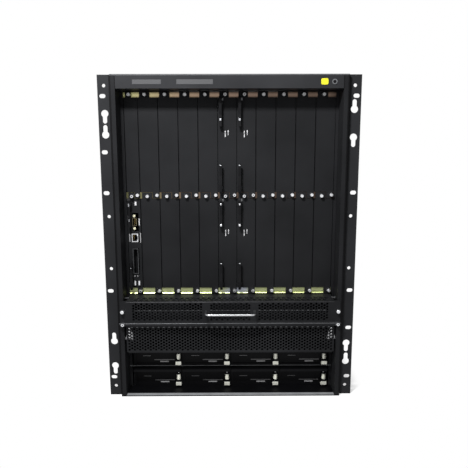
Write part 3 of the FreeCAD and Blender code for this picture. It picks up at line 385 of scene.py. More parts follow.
def make_finishes():
    """Every finish by its name; the frame's own slots are among them."""
    paint = finishes()
    black, bright, dull, white = paint.powder_black, paint.bright_zinc, paint.dull_plate, paint.print_white
    recipes = {
        powder_coat: {
            "painted_black": (black,),
            # Lighter copies of the black paint for the header and the ears: painted light from above.
            "header_black": (tone(black, 1.7),),
            "ear_black": (tone(black, 1.45),),
            # Lighter copies for the fan tray, the filter tray and the intake grille: painted light on the lower front.
            "tray_black": (tone(black, 1.05),),
            "grille_black": (tone(black, 1.3),),
            # Near-black coat: painted shade on the power supplies, the bottom pan and the seam strips.
            "supply_black": (paint.supply_black, 0.55, 0.1),
        },
        plated_steel: {
            "bright_steel": (bright, 0.28),
            "plated_grey": (dull, 0.42),
            "shaded_steel": (tone(bright, 0.5), 0.4),
            "worn_edge": (paint.worn_edge, 0.45),
            # Bare plate on the filter tray's painted lip: a painted highlight.
            "lip_edge": (tone(dull, 0.22), 0.5),
            "pale_sill": (dull, 0.5, 0.2),
            "olive_plate": (paint.olive_plate, 0.4),
            "latch_zinc": (paint.latch_zinc, 0.35, 0.3),
            "pull_steel": (tone(bright, 0.6), 0.3),
            "dull_edge": (tone(dull, 0.35), 0.5),
            "foot_zinc": (paint.zinc_gold, 0.4),
            "brass": (paint.pale_brass, 0.3),
            "contacts": (paint.contact_gold, 0.3),
        },
        printed_ink: {
            "print": (white,),
            "faint_print": (paint.faint_print,),
            "grey_print": (tone(white, 0.6),),
            "plate": (paint.header_plate,),
            "patch": (paint.patch_yellow,),
        },
        moulded_plastic: {"black_plastic": (paint.moulded_black,), "guide_plastic": (paint.guide_grey, 0.5)},
        yellow_zinc: {"zinc_gold": (paint,)},
        circuit_board: {"circuit_board": (paint,)},
        filter_foam: {"filter_foam": (paint.foam_grey,)},
        lamp_lens: {"lens": (tone(white, 0.4),)},
    }
    return {name: build(f"{name}_finish", *values) for build, rows in recipes.items() for name, values in rows.items()}


surfaces = {}


# ---- mesh helpers ----


def new_mesh(name, bm):
    """A mesh made of a bmesh, which is freed."""
    mesh = bpy.data.meshes.new(name)
    bm.to_mesh(mesh)
    bm.free()
    return mesh


def new_object(name, data):
    """An object in the scene."""
    made = bpy.data.objects.new(name, data)
    bpy.context.scene.collection.objects.link(made)
    return made


def finish_piece(name, bm, body, slot, *names):
    """Turn a bmesh into a piece that rides on a body, with its finishes in order."""
    mesh = new_mesh(name, bm)
    for surface in names or (slot,):
        mesh.materials.append(surfaces[surface])
    piece = new_object(name, mesh)
    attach(piece, body)
    return piece


def of_kind(items, kind):
    return [item for item in items if isinstance(item, kind)]


def edges_of(verts):
    return list({edge for vert in verts for edge in vert.link_edges})


def faces_of(verts):
    return list({face for vert in verts for face in vert.link_faces})


def prism(bm, sides, radius, height):
    """The vertices of a prism that stands upright about the origin."""
    return bmesh.ops.create_cone(bm, cap_ends=True, segments=sides, radius1=radius, radius2=radius,
                                 depth=height)["verts"]


def move(bm, verts, across, along, up):
    """Shift the vertices."""
    bmesh.ops.translate(bm, vec=(across, along, up), verts=verts)


def draw_outline(bm, corners):
    """The edges of a closed outline."""
    verts = [bm.verts.new(corner) for corner in corners]
    return [bm.edges.new((vert, verts[index - 1])) for index, vert in enumerate(verts)]


def cad_copy(node):
    """A merged copy of a CAD node's mesh."""
    bm = bmesh.new()
    bm.from_mesh(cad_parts[node].data)
    bmesh.ops.remove_doubles(bm, verts=bm.verts, dist=1e-6)
    return bm


def round_off(bm, faces, edges, bevel, material):
    """Round the edges by bevel, and give the faces of the form their material."""
    if bevel:
        rounded = bmesh.ops.bevel(bm, geom=edges, offset=bevel, segments=2, profile=0.5, affect="EDGES", material=-1)
        faces = {face for face in faces if face.is_valid} | set(rounded["faces"])
    for face in faces:
        face.material_index = material


def add_block(bm, corner, opposite, bevel=0.0):
    """A block between two opposite corners, with its edges rounded by bevel."""
    low, high = Vector(map(min, corner, opposite)), Vector(map(max, corner, opposite))
    made = bmesh.ops.create_cube(bm, size=1)["verts"]
    bmesh.ops.scale(bm, vec=high - low, verts=made)
    move(bm, made, *(low + high) / 2)
    round_off(bm, faces_of(made), edges_of(made), bevel, 0)


def add_rod(bm, centre, radius, height, axis, sides=24, bevel=0.0, material=0):
    """A round rod whose near end is at centre and which runs along axis."""
    made = prism(bm, sides, radius, height)
    move(bm, made, 0, 0, height / 2)
    turn = Vector(axis).to_track_quat("Z", "Y").to_matrix()
    bmesh.ops.rotate(bm, matrix=turn, cent=(0, 0, 0), verts=made)
    move(bm, made, *centre)
    faces = faces_of(made)
    rims = [edge for face in faces if len(face.verts) > 4 for edge in face.edges]
    round_off(bm, faces, rims, bevel, material)


def add_hem(bm, left, right, along, up, radius):
    """A rounded sheet edge across the front."""
    add_rod(bm, (left, along, up), radius, right - left, (1, 0, 0), 10)


def blocks_piece(name, body, finish, blocks, bevel=0.0):
    """A piece of blocks, each given by two corners; finish is its slot, and its surface if it has its own."""
    bm = bmesh.new()
    for corner, opposite in blocks:
        add_block(bm, corner, opposite, bevel)
    finish_piece(name, bm, body, *finish)


def bars_piece(name, body, surface, plane, bars):
    """Plain printed bars on a front face; bars are (left, right, bottom, top)."""
    proud = detail().print_height
    blocks_piece(name, body, ("painted_black", surface),
                 [((left, plane - proud, bottom), (right, plane + proud, top)) for left, right, bottom, top in bars])


def hem_piece(name, body, surface, *hem):
    """A piece of one painted hem."""
    bm = bmesh.new()
    add_hem(bm, *hem)
    finish_piece(name, bm, body, "painted_black", surface)


def pierced_cell(bm, across_pitch, up_pitch, hole, sides, mark):
    """One round hole in a rectangle of a pattern, lying flat at the origin."""
    ring = bmesh.ops.create_circle(bm, cap_ends=False, segments=sides, radius=hole / 2)["verts"]
    for vert in ring:
        vert[mark] = 1
    rim = of_kind(bmesh.ops.extrude_edge_only(bm, edges=edges_of(ring))["geom"], BMVert)
    # A rim vertex goes to the top or bottom edge of its cell from up here, and to a side from out here.
    near_top, near_side = 0.8, 0.1
    for vert in rim:
        vert[mark] = 0
        across, up = vert.co.x / (hole / 2), vert.co.y / (hole / 2)
        rise = up if abs(up) < near_top else math.copysign(1, up)
        run = math.copysign(1, across) if abs(across) > near_side else 0
        vert.co = (run * across_pitch / 2, rise * up_pitch / 2, 0)
    return ring + rim


def pierced_plate(bm, outline, fields, thickness, column_pitch, pitch, hole, stagger=0.5):
    """A flat plate, pierced with rows of round holes inside each field (left, right, bottom, top)."""
    mark = bm.verts.layers.int.new("hole")
    for left, right, bottom, top in fields:
        columns = int((right - left) / column_pitch)
        rows = int((top - bottom) / pitch - stagger + 1e-6)
        start = (left + right) / 2 - column_pitch * (columns - 1) / 2
        base = (bottom + top) / 2 - pitch * (rows - 1 + stagger) / 2
        column = []
        for row in range(rows):
            cell = pierced_cell(bm, column_pitch, pitch, hole, detail().hole_sides, mark)
            move(bm, cell, start, base + row * pitch, 0)
            column += cell
        geometry = column + edges_of(column) + faces_of(column)
        for step in range(1, columns):
            verts = of_kind(bmesh.ops.duplicate(bm, geom=geometry)["geom"], BMVert)
            move(bm, verts, step * column_pitch, pitch * stagger if step % 2 else 0, 0)
    bmesh.ops.remove_doubles(bm, verts=bm.verts, dist=1e-5)
    border = [edge for edge in bm.edges if edge.is_boundary and not any(vert[mark] for vert in edge.verts)]
    border += draw_outline(bm, [(*corner, 0) for corner in outline])
    bmesh.ops.triangle_fill(bm, use_beauty=True, use_dissolve=False, edges=border, normal=(0, 0, 1))
    bmesh.ops.recalc_face_normals(bm, faces=bm.faces)
    raised = bmesh.ops.extrude_face_region(bm, geom=bm.faces[:])["geom"]
    move(bm, of_kind(raised, BMVert), 0, 0, thickness)
    bmesh.ops.recalc_face_normals(bm, faces=bm.faces)


def fine_plate(bm, outline, fields, thickness, pitch):
    """A flat plate with the fine staggered holes, pitch apart in each column."""
    sizes = detail()
    pierced_plate(bm, outline, fields, thickness, sizes.column_pitch, pitch, sizes.hole_width)


def port_shell(outer, mouth, front, depth, wall):
    """A port: a rim between two outlines, walls going back from both, and a closed end."""
    bm = bmesh.new()
    loops = [draw_outline(bm, [(across, front, up) for across, up in outline]) for outline in (outer, mouth)]
    made = bmesh.ops.triangle_fill(bm, use_beauty=True, use_dissolve=False, edges=loops[0] + loops[1],
                                   normal=FORWARD)["geom"]
    for lining, (loop, reach) in enumerate(zip(loops, (depth + wall, depth))):
        grown = bmesh.ops.extrude_edge_only(bm, edges=loop)["geom"]
        verts = of_kind(grown, BMVert)
        move(bm, verts, 0, reach, 0)
        ends = [edge for edge in of_kind(grown, BMEdge) if set(edge.verts) <= set(verts)]
        sides = of_kind(grown, BMFace) + bmesh.ops.contextual_create(bm, geom=ends)["faces"]
        for face in sides:
            face.material_index = lining
        made += sides
    bmesh.ops.recalc_face_normals(bm, faces=of_kind(made, BMFace))
    return bm


def join(bm, other, matrix):
    """Add another bmesh, moved by matrix, and free it."""
    bmesh.ops.transform(other, matrix=matrix, verts=other.verts)
    carrier = new_mesh("carrier", other)
    bm.from_mesh(carrier)
    bpy.data.meshes.remove(carrier)


def mirrored(lower):
    """An outline from its lower half, (across, up), whose upper half is the same upside down."""
    return lower + [(across, -up) for across, up in reversed(lower)]


def rectangle(left, right, bottom, top):
    return [(left, bottom), (right, bottom), (right, top), (left, top)]


def facing_front(back):
    """Stands a flat plate upright, its thickness growing forward from the plane at back."""
    return Matrix.Translation((0, back, 0)) @ UPRIGHT


def loose_parts(node):
    """The boxes of a CAD node's separate solids."""
    bm = cad_copy(node)
    left = set(bm.verts)
    boxes = []
    while left:
        front = [left.pop()]
        low, high = front[0].co.copy(), front[0].co.copy()
        while front:
            vert = front.pop()
            low, high = Vector(map(min, low, vert.co)), Vector(map(max, high, vert.co))
            for edge in vert.link_edges:
                other = edge.other_vert(vert)
                if other in left:
                    left.remove(other)
                    front.append(other)
        boxes.append((low, high))
    bm.free()
    return boxes


def panel_face():
    """The plane of the panels' fronts."""
    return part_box("upper_fillers")[0].y


# ---- pieces ----


class CHASSIS_OT_finishes(Operator):
    """Give every CAD node its finish"""

    bl_idname = "chassis.finishes"
    bl_label = "Finishes"

    def execute(self, context):
        surfaces.update(make_finishes())
        for name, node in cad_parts.items():
            for slot in node.material_slots:
                slot.material = surfaces[OWN_FINISH.get(name.rstrip("_12345678"), slot.material.name)]
        return {"FINISHED"}


class CHASSIS_OT_fan_tray(Operator):
    """Model the fan tray with its fine pierced face and ledge"""

    bl_idname = "chassis.fan_tray"
    bl_label = "Fan tray"

    def execute(self, context):
        sizes = detail()
        sheet, border, pitch = sizes.tray_sheet, sizes.tray_border, sizes.ledge_pitch
        tray_low, tray_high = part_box("fan_tray")
        floor, roof, tab = tray_low.z, tray_high.z, tray_high.x
        half = tab - TRAY_TAB
        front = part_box("side_wall_left")[0].y + LAP
        ledge_back = front + sizes.ledge_depth + border
        tray = cad_copy("fan_tray")
        for place, cut_off in ((front, True), (ledge_back, False)):
            everything = tray.verts[:] + tray.edges[:] + tray.faces[:]
            bmesh.ops.bisect_plane(tray, geom=everything, plane_co=(0, place, 0), plane_no=FORWARD,
                                   clear_outer=cut_off)
        deck = [face for face in tray.faces if face.calc_center_median().y < ledge_back
                and min(vert.co.z for vert in face.verts) > roof - sheet - 1e-5]
        bmesh.ops.delete(tray, geom=deck, context="FACES")

        ledge = bmesh.new()
        row = pitch * 0.95
        near = front + 0.0006
        far = near + row + 0.0018
        inset = half - border * 3
        pierced_plate(ledge, rectangle(-half, half, front, ledge_back),
                      [(-inset, inset, near, near + row), (-inset + pitch / 2, inset + pitch / 2, far, far + row)],
                      sheet, pitch, row, sizes.ledge_hole, 0)
        join(tray, ledge, Matrix.Translation((0, 0, roof - sheet)))

        handle_low, handle_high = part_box("fan_tray_handle")
        foot, strip = (handle_high.x - handle_low.x) / 2, sizes.handle_strip
        inner, outer, centre = half - border * 2.8, foot + strip / 2 - 0.002, foot - strip - 0.002
        bottom, top = floor + 0.0004, roof - 0.0036
        fields = [(-inner, -outer, bottom, top), (-centre, centre, bottom, top), (outer, inner, bottom, top)]
        face = bmesh.new()
        fine_plate(face, rectangle(-tab, tab, floor, roof), fields, sheet + LAP, sizes.tray_pitch)
        join(tray, face, facing_front(front))
        piece = finish_piece("fan_tray_shell", tray, "fan_drawer", "painted_black", "tray_black")
        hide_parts("fan_tray")
        # The hem's bare metal paints the highlight along the tray's top edge.
        hem_piece("fan_tray_hem", "fan_drawer", "worn_edge", -half, half, front - sheet + 0.0004, top + 0.001,
                  sizes.hem_radius)
        reach = half - 0.014
        blocks_piece("fan_tray_stiffener", "fan_drawer", ("plated_grey", "dull_edge"),
                     [((-reach, front + 0.002, floor + 0.0193), (reach, front + 0.003, floor + 0.0213))])
        return {"FINISHED"}


class CHASSIS_OT_filter_tray(Operator):
    """Round the upper edge of the filter tray's lip, in bare plate that paints its highlight"""

    bl_idname = "chassis.filter_tray"
    bl_label = "Filter tray"

    def execute(self, context):
        low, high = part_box("filter_tray")
        radius = detail().hem_radius
        hem_piece("filter_lip_hem", "filter_drawer", "lip_edge", low.x, high.x, low.y + radius * 0.6,
                  high.z - 0.0018, radius)
        return {"FINISHED"}


class CHASSIS_OT_intake_grille(Operator):
    """Model the finely pierced intake grille with its brackets, and bright triangles behind its ends that paint the
    light through the side vents
    """

    bl_idname = "chassis.intake_grille"
    bl_label = "Intake grille"

    def execute(self, context):
        low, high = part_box("intake_grille")
        sheet = 0.002
        back = low.y + sheet
        half = high.x + 0.0068
        grille, plate = bmesh.new(), bmesh.new()
        field = (-half + 0.0008, half - 0.0008, low.z + 0.0004, high.z - 0.0006)
        fine_plate(plate, rectangle(-half, half, low.z, high.z), [field], sheet, detail().hole_pitch)
        join(grille, plate, facing_front(back))
        add_block(grille, (low.x, back, low.z), (high.x, high.y, low.z + sheet))
        piece = finish_piece("intake_screen", grille, "chassis", "painted_black", "grille_black")
        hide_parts("intake_grille")
        reach = half - 0.002
        blocks_piece("intake_stiffener", "chassis", ("plated_grey", "dull_edge"),
                     [((-reach, back + 0.0006, high.z - 0.0062), (reach, back + 0.0016, high.z - 0.0042))])
        # Bright steel triangles behind both ends of the grille paint the light that shows through the side vents there.
        end_highlights = bmesh.new()
        for side in SIDES:
            made = prism(end_highlights, 3, 0.012, 0.0006)
            bmesh.ops.rotate(end_highlights, matrix=UPRIGHT.to_3x3(), cent=(0, 0, 0), verts=made)
            bmesh.ops.scale(end_highlights, vec=(0.9, 1, 1.6), verts=made)
            move(end_highlights, made, side * (half - 0.0058), back + 0.0022, high.z - 0.0205)
        finish_piece("intake_end_highlights", end_highlights, "chassis", "plated_grey", "bright_steel")
        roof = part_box("fan_tray")[1].z
        blocks_piece("tray_brackets", "chassis", ("plated_grey",),
                     [((side * 0.1996, low.y + 0.009, roof + 0.0003), (side * 0.2074, low.y + 0.015, roof + 0.0011))
                      for side in SIDES])
        return {"FINISHED"}


def head_pattern():
    """The mesh of one fluted screw head with a crossed recess, standing on the origin."""
    sizes = detail()
    radius, chamfer, height = sizes.screw_radius, sizes.head_chamfer, sizes.head_length
    end_level, recess_reach, arm = height / 2 - 0.0004, radius * 0.56, radius * 0.15
    head = bmesh.new()
    made = prism(head, 28, radius, height - chamfer)
    for index, vert in enumerate(sorted(made, key=lambda item: math.atan2(item.co.y, item.co.x))):
        if index // 2 % 2:
            vert.co.xy *= 1 - sizes.grip_depth / radius
    top = max(head.faces, key=lambda face: face.calc_center_median().z)
    bmesh.ops.inset_individual(head, faces=[top], thickness=chamfer, depth=chamfer)
    bmesh.ops.inset_individual(head, faces=[top], thickness=radius * 0.34, depth=0)

    def recess_faces():
        return [face for face in head.faces if face.calc_center_median().z > end_level
                and max(vert.co.xy.length for vert in face.verts) < recess_reach]

    for normal in ((1, 0, 0), (0, 1, 0)):
        for side in SIDES:
            faces = recess_faces()
            geometry = faces + list({edge for face in faces for edge in face.edges})
            bmesh.ops.bisect_plane(head, geom=geometry, dist=1e-6, plane_co=Vector(normal) * arm * side,
                                   plane_no=normal)
    cross = [face for face in recess_faces() if min(map(abs, face.calc_center_median().xy)) < arm]
    sunk = bmesh.ops.extrude_face_region(head, geom=cross)["geom"]
    bmesh.ops.delete(head, geom=cross, context="FACES_ONLY")
    move(head, of_kind(sunk, BMVert), 0, 0, -sizes.cross_depth)
    bmesh.ops.recalc_face_normals(head, faces=head.faces)
    move(head, head.verts, 0, 0, (height - chamfer) / 2)
    return new_mesh("head_pattern", head)


def screw_heads(name, body, places):
    """Screw heads, each turned another way; places are (across, back plane, up)."""
    shape = head_pattern()
    heads = bmesh.new()
    for count, place in enumerate(places):
        before = len(heads.verts)
        heads.from_mesh(shape)
        heads.verts.ensure_lookup_table()
        turn = UPRIGHT @ Matrix.Rotation(math.radians(count * 37 % 90), 4, "Z")
        bmesh.ops.transform(heads, matrix=Matrix.Translation(place) @ turn, verts=heads.verts[before:])
    bpy.data.meshes.remove(shape)
    top_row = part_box("card_rails")[1].z - detail().top_row_depth
    shaded = [face for face in heads.faces if face.calc_center_median().z > top_row]
    for face in shaded:
        face.material_index = 1
    return finish_piece(name, heads, body, "bright_steel", "bright_steel", *(("shaded_steel",) if shaded else ()))


class CHASSIS_OT_screws(Operator):
    """Model the captive screw heads of the panels, modules and trays"""

    bl_idname = "chassis.screws"
    bl_label = "Captive screws"

    def execute(self, context):
        places = [((low.x + high.x) / 2, high.y, (low.z + high.z) / 2) for low, high in loose_parts("panel_screws")]
        piece = screw_heads("panel_screw_heads", "chassis", places)
        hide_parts("panel_screws")
        plane, rise = panel_face(), 0.0065
        modules = [(f"fabric_screw_heads_{module}", f"fabric_module_{module}", f"fabric_panel_{module}", 0.014)
                   for module in FABRIC_MODULES]
        modules.append(("management_screw_heads", "management_module", "management_panel", 0.0105))
        for name, body, panel, inset in modules:
            low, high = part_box(panel)
            screw_heads(name, body, [(low.x + inset, plane, high.z - rise), (high.x - 0.004, plane, low.z + rise)])
        post = 0.2085
        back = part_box("fan_tray")[0].y + 0.008
        for drawer in ("fan", "filter"):
            low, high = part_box(f"{drawer}_tray")
            middle = (low.z + high.z) / 2
            screw_heads(f"{drawer}_tray_screw_heads", f"{drawer}_drawer",
                        [(side * post, back, middle) for side in SIDES])
        return {"FINISHED"}


class CHASSIS_OT_levers(Operator):
    """Model the steel cam plates, finger studs and hinges of the ejector levers, and the panels' gaskets"""

    bl_idname = "chassis.levers"
    bl_label = "Ejector levers"

    def execute(self, context):
        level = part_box("fabric_panel_1")[0].z
        modules = [("fabric", f"_{module}") for module in FABRIC_MODULES] + [("management", "")]
        for kind, mark in modules:
            managed = kind == "management"
            for end, side in (("upper", 1), ("lower", -1)):
                low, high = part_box(f"{kind}_{end}_ejector{mark}")
                body = f"{kind}_{end}_lever{mark}"
                middle = (low.x + high.x) / 2
                tip = low.z if side > 0 else high.z
                cammed = side > 0 and tip < level
                # The fittings of the fabric modules' upper levers in the lower bay take bright steel, which paints the
                # glints on them. The others keep the duller grey plate, which on the upper bay's modules paints the
                # header's shade.
                bright = cammed and not managed
                fittings = bmesh.new()
                if cammed:
                    add_block(fittings, (middle - 0.0012, low.y - 0.0004, high.z - (0.016 if managed else 0.0135)),
                              (middle + 0.0012, low.y + 0.002, high.z - 0.01), 0.0003)
                stud = 0.0012 if bright or (side < 0 and not managed) else 0.0105
                stud_end = stud + (0.0042 if side > 0 else 0.0018)
                reach = 0.0009 if managed else 0.0018
                add_block(fittings, (middle - reach, low.y - 0.0006, tip + side * stud),
                          (middle + reach, low.y + 0.002, tip + side * stud_end), 0.0005)
                finish_piece(f"{body}_fittings", fittings, body, "plated_grey",
                             "bright_steel" if bright else "plated_grey")
        plane = panel_face()
        for module in FABRIC_MODULES:
            low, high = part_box(f"fabric_panel_{module}")
            body = f"fabric_module_{module}"
            top = high.z - 0.0125
            hinge = (low.x + 0.0076, plane - 0.0022, top - 0.005), (low.x + 0.0106, plane + ROOT, top)
            blocks_piece(f"lever_hinge_{module}", body, ("plated_grey", "dull_edge"), [hinge], 0.0004)
            gasket = (high.x - LAP, plane + 0.002, low.z + FLANGE), (high.x + 0.0007, plane + 0.012, high.z - FLANGE)
            blocks_piece(f"panel_gasket_{module}", body, ("black_plastic",), [gasket])
        return {"FINISHED"}


class CHASSIS_OT_lamps(Operator):
    """Model the status lamps and printed bars of the fabric modules"""

    bl_idname = "chassis.lamps"
    bl_label = "Status lamps"

    def execute(self, context):
        plane = panel_face()
        half = detail().bar_width / 2
        for module in FABRIC_MODULES:
            low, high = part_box(f"fabric_panel_{module}")
            level = high.z - TOP_TAB - 0.067
            body = f"fabric_module_{module}"
            lenses = bmesh.new()
            bars = []
            for offset, below, above in ((0.014, 0.007, 0.005), (0.0195, 0.0028, 0.0062)):
                across = low.x + offset
                add_rod(lenses, (across, plane + 0.0012, level), 0.00125, 0.002, FORWARD, 16, 0.0004)
                bars += [(across - half, across + half, level - below, level - 0.0016),
                         (across - half, across + half, level + 0.0016, level + above)]
            finish_piece(f"fabric_lamps_{module}", lenses, body, "guide_plastic", "lens")
            bars_piece(f"fabric_marks_{module}", body, "print", plane, bars)
        return {"FINISHED"}


class CHASSIS_OT_management_ports(Operator):
    """Model the shells, contacts, lamps and printed bars of the management ports"""

    bl_idname = "chassis.management_ports"
    bl_label = "Management ports"

    def execute(self, context):
        plane = panel_face()
        card, network, serial = sorted(loose_parts("management_ports"), key=lambda box: box[0].z)
        body = "management_module"
        front = network[0].y
        depth = network[1].y - front - 0.002
        across = (network[0].x + network[1].x) / 2 - 0.002
        middle = (serial[0].z + serial[1].z) / 2
        level = (network[0].z + network[1].z) / 2

        def port(name, surface, centre, outer, mouth):
            """A port whose two outlines are offsets from the ports' centre line."""
            outlines = [[(across + side, centre + up) for side, up in corners] for corners in (outer, mouth)]
            return finish_piece(name, port_shell(*outlines, front, depth, 0.001), body, "plated_grey", surface,
                                "black_plastic")

        shell = mirrored([(-0.004, -0.007), (-0.0028, -0.0086), (0.0032, -0.0076), (0.0044, -0.0062)])
        port("serial_shell", "olive_plate", middle, shell, [(side * 0.8, up * 0.88) for side, up in shell])
        jack = mirrored([(-0.0048, -0.0068), (0.004, -0.0068), (0.004, -0.0034), (0.0054, -0.0034)])
        port("network_shell", "bright_steel", level, rectangle(-0.0062, 0.0062, -0.0084, 0.0084), jack)
        low, high = card[0].z + 0.0015, card[1].z - 0.0006
        piece = port("card_slot", "dull_edge", 0, rectangle(-0.0052, 0.0052, low, high),
                     rectangle(-0.0046, 0.0046, low + 0.0006, high - 0.0006))
        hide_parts("management_ports")

        posts, contacts, lamps = bmesh.new(), bmesh.new(), bmesh.new()
        for side in SIDES:
            rise = middle + side * 0.0124
            add_rod(posts, (across, plane + ROOT, rise), 0.003, 0.0046, FORWARD, 6, 0.0004)
            add_rod(posts, (across, plane - 0.004, rise), 0.0016, 0.0008, FORWARD, 16)
        finish_piece("jack_posts", posts, body, "bright_steel", "brass")
        wires, wire_pitch, pin_pitch = 8, 0.00127, 0.00277
        for count in range(wires):
            rise = level + (count - (wires - 1) / 2) * wire_pitch
            add_block(contacts, (across - 0.0042, front + 0.009, rise - 0.0002),
                      (across - 0.003, front + depth - 0.001, rise + 0.0002))
        for side, pins in ((-0.0014, 5), (0.0014, 4)):
            for count in range(pins):
                rise = middle + (count - (pins - 1) / 2) * pin_pitch
                add_rod(contacts, (across + side, front + depth - 0.0004, rise), 0.0005, 0.007, FORWARD, 8)
        finish_piece("port_contacts", contacts, body, "bright_steel", "contacts")
        for side, reach in ((-0.0104, 0.0078), (0.0108, 0.01)):
            add_block(lamps, (across + side - 0.0011, plane - 0.0012, level - reach),
                      (across + side + 0.0011, plane + ROOT, level + reach), 0.0004)
        for side in SIDES:
            add_rod(lamps, (across + side * 0.0029, plane + ROOT, low - 0.0048), 0.0013, 0.0018, FORWARD, 16, 0.0004)
        finish_piece("port_lamps", lamps, body, "guide_plastic", "lens")

        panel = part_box("management_panel")
        edge, top = panel[0].x, panel[1].z - TOP_TAB
        bars_piece("port_marks", body, "print", plane,
                   [(across + 0.0082, across + 0.0098, middle - 0.0068, middle + 0.0068),
                    (across + 0.0012, across + 0.0048, top - 0.0128, top - 0.0058)])
        clips = [((edge + 0.0002, plane - 0.0012, top - below), (edge + 0.0014, plane + ROOT, top - above))
                 for below, above in ((0.042, 0.033), (0.0115, 0.005))]
        blocks_piece("edge_clips", body, ("plated_grey",), clips, 0.0002)
        return {"FINISHED"}


class CHASSIS_OT_header(Operator):
    """Lay the bare plates, the plain patch and the socket's lining on the header, and paint shade along the seams with
    dark strips
    """

    bl_idname = "chassis.header"
    bl_label = "Header and seams"

    def execute(self, context):
        low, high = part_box("header_bar")
        plane = low.y
        middle = (low.z + high.z) / 2
        proud = detail().print_height * 2
        blocks_piece("header_plates", "chassis", ("painted_black", "plate"),
                     [((left, plane - proud, middle - half), (right, plane + proud, middle + half))
                      for left, right, half in ((-0.176, -0.124, 0.004), (-0.096, -0.03, 0.0042))], 0.0001)
        patch = bmesh.new()
        add_block(patch, (0.1655, plane - proud, middle - 0.0052), (0.1785, plane + proud, middle + 0.0058))
        uprights = [edge for edge in patch.edges if abs(edge.verts[0].co.y - edge.verts[1].co.y) > proud]
        bmesh.ops.bevel(patch, geom=uprights, offset=0.003, segments=5, profile=0.5, affect="EDGES", material=-1)
        finish_piece("header_patch", patch, "chassis", "painted_black", "patch")

        socket_low, socket_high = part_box("esd_socket")
        centre = (socket_low + socket_high) / 2
        lining = bmesh.new()
        add_rod(lining, (centre.x, socket_low.y + 0.003, centre.z), 0.003, 0.0031, FORWARD)
        finish_piece("socket_lining", lining, "chassis", "black_plastic")

        # Near-black strips paint shade along the posts' outer edges, on the ears beside the posts, and at the header's
        # ends.
        edge = abs(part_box("side_wall_left")[0].x)
        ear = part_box("rack_ear_left")[0].y
        bottom = cad_low.z + 0.001
        seams = ((edge - 0.0021, edge + 0.0001, plane, bottom), (edge + 0.0017, edge + 0.0034, ear, bottom),
                 (high.x - 0.0008, high.x + 0.0008, plane, low.z))
        blocks_piece("case_seam_shadows", "chassis", ("painted_black", "supply_black"),
                     [((side * inner, place - 0.0002, start), (side * outer, place + 0.0002, high.z))
                      for side in SIDES for inner, outer, place, start in seams])
        # Near-black strips along the left edges of the blank panels deepen the seams between panels: painted shade.
        fillers = loose_parts("upper_fillers") + loose_parts("lower_fillers")
        blocks_piece("panel_seam_shadows", "chassis", ("black_plastic", "supply_black"),
                     [((box_low.x - LAP, box_low.y - LAP, box_low.z + FLANGE),
                       (box_low.x + 0.0009, box_low.y + 0.0004, box_high.z - FLANGE)) for box_low, box_high in fillers])
        # The header's top hem takes bare plate, which paints the highlight along the painted top edge.
        hem_piece("header_hem", "chassis", "dull_edge", -edge, edge, plane + 0.0012, cad_high.z - 0.0014, 0.0013)
        reach = edge - 0.01
        blocks_piece("pan_sill", "chassis", ("painted_black", "pale_sill"),
                     [((-reach, plane + 0.0002, cad_low.z + 0.0019), (reach, plane + 0.01, cad_low.z + 0.0022))])
        return {"FINISHED"}


class CHASSIS_OT_foot_rail(Operator):
    """Roll the lower edge of the foot rail between the panels' tabs"""

    bl_idname = "chassis.foot_rail"
    bl_label = "Foot rail"

    def execute(self, context):
        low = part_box("card_rails")[0]
        panels = loose_parts("lower_fillers")
        panels += [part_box(name) for name in ("management_panel", "fabric_panel_3", "fabric_panel_4")]
        roll = bmesh.new()
        narrow, left_end = 0.02, -0.19
        for panel_low, panel_high in panels:
            if panel_high.x - panel_low.x < narrow:
                continue
            tab = 0.011 if panel_low.x < left_end else 0.014
            add_hem(roll, panel_low.x, panel_high.x - tab, low.y - 0.0006, low.z + 0.0004, 0.0014)
        finish_piece("foot_rail_roll", roll, "chassis", "zinc_gold", "foot_zinc")
        return {"FINISHED"}


class CHASSIS_OT_supply_fronts(Operator):
    """Model the latches, printed bars and trims of the power supplies, and the edge of their shelf"""

    bl_idname = "chassis.supply_fronts"
    bl_label = "Power supply fronts"

    def execute(self, context):
        plane = panel_face()
        face = plane + 0.0015
        for supply in SUPPLIES:
            low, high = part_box(f"power_supply_{supply}")
            body = f"supply_{supply}"
            base, centre = low.z, low.x + 0.0614
            across, along = high.x - 0.0062, plane - 0.006
            latch = bmesh.new()
            add_rod(latch, (across, along, base + 0.016), 0.0038, 0.0116, UPWARD, 24, 0.0005)
            for count in range(5):
                add_rod(latch, (across, along, base + 0.0168 + count * 0.0022), 0.0042, 0.001, UPWARD, 24, 0.0003)
            add_rod(latch, (across, along, base + 0.0292), 0.0022, 0.0028, UPWARD, 16, 0.0006, 1)
            corner = (across - 0.0056, along - 0.0044, base + 0.004)
            add_block(latch, corner, (across + 0.0056, along - 0.0036, base + 0.0116), 0.0002)
            add_block(latch, corner, (across + 0.0056, plane + 0.001, base + 0.005), 0.0002)
            add_rod(latch, (across, along, base + 0.0036), 0.0014, 0.014, UPWARD, 12)
            finish_piece(f"supply_latch_{supply}", latch, body, "bright_steel", "latch_zinc", "bright_steel")
            bars_piece(f"supply_marks_{supply}", body, "faint_print", face,
                       [(centre - 0.0205, centre + 0.0205, base + 0.0102, base + 0.012),
                        (centre - 0.044, centre - 0.028, base + 0.0192, base + 0.0202)])
            bars_piece(f"supply_label_{supply}", body, "grey_print", face,
                       [(centre - 0.0088, centre + 0.0088, base + 0.006, base + 0.0086)])
            # The trim's bare metal paints the highlight along the supply's top edge.
            hem_piece(f"supply_trim_{supply}", body, "worn_edge", low.x + 0.001, high.x - 0.001, low.y + 0.0004,
                      high.z - 0.0048, 0.0004)
        low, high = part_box("power_shelf")
        blocks_piece("shelf_edge", "chassis", ("painted_black", "dull_edge"),
                     [((low.x + 0.001, plane - 0.0004, 0.0446), (high.x - 0.001, plane + 0.0004, 0.0462))], 0.0002)
        return {"FINISHED"}


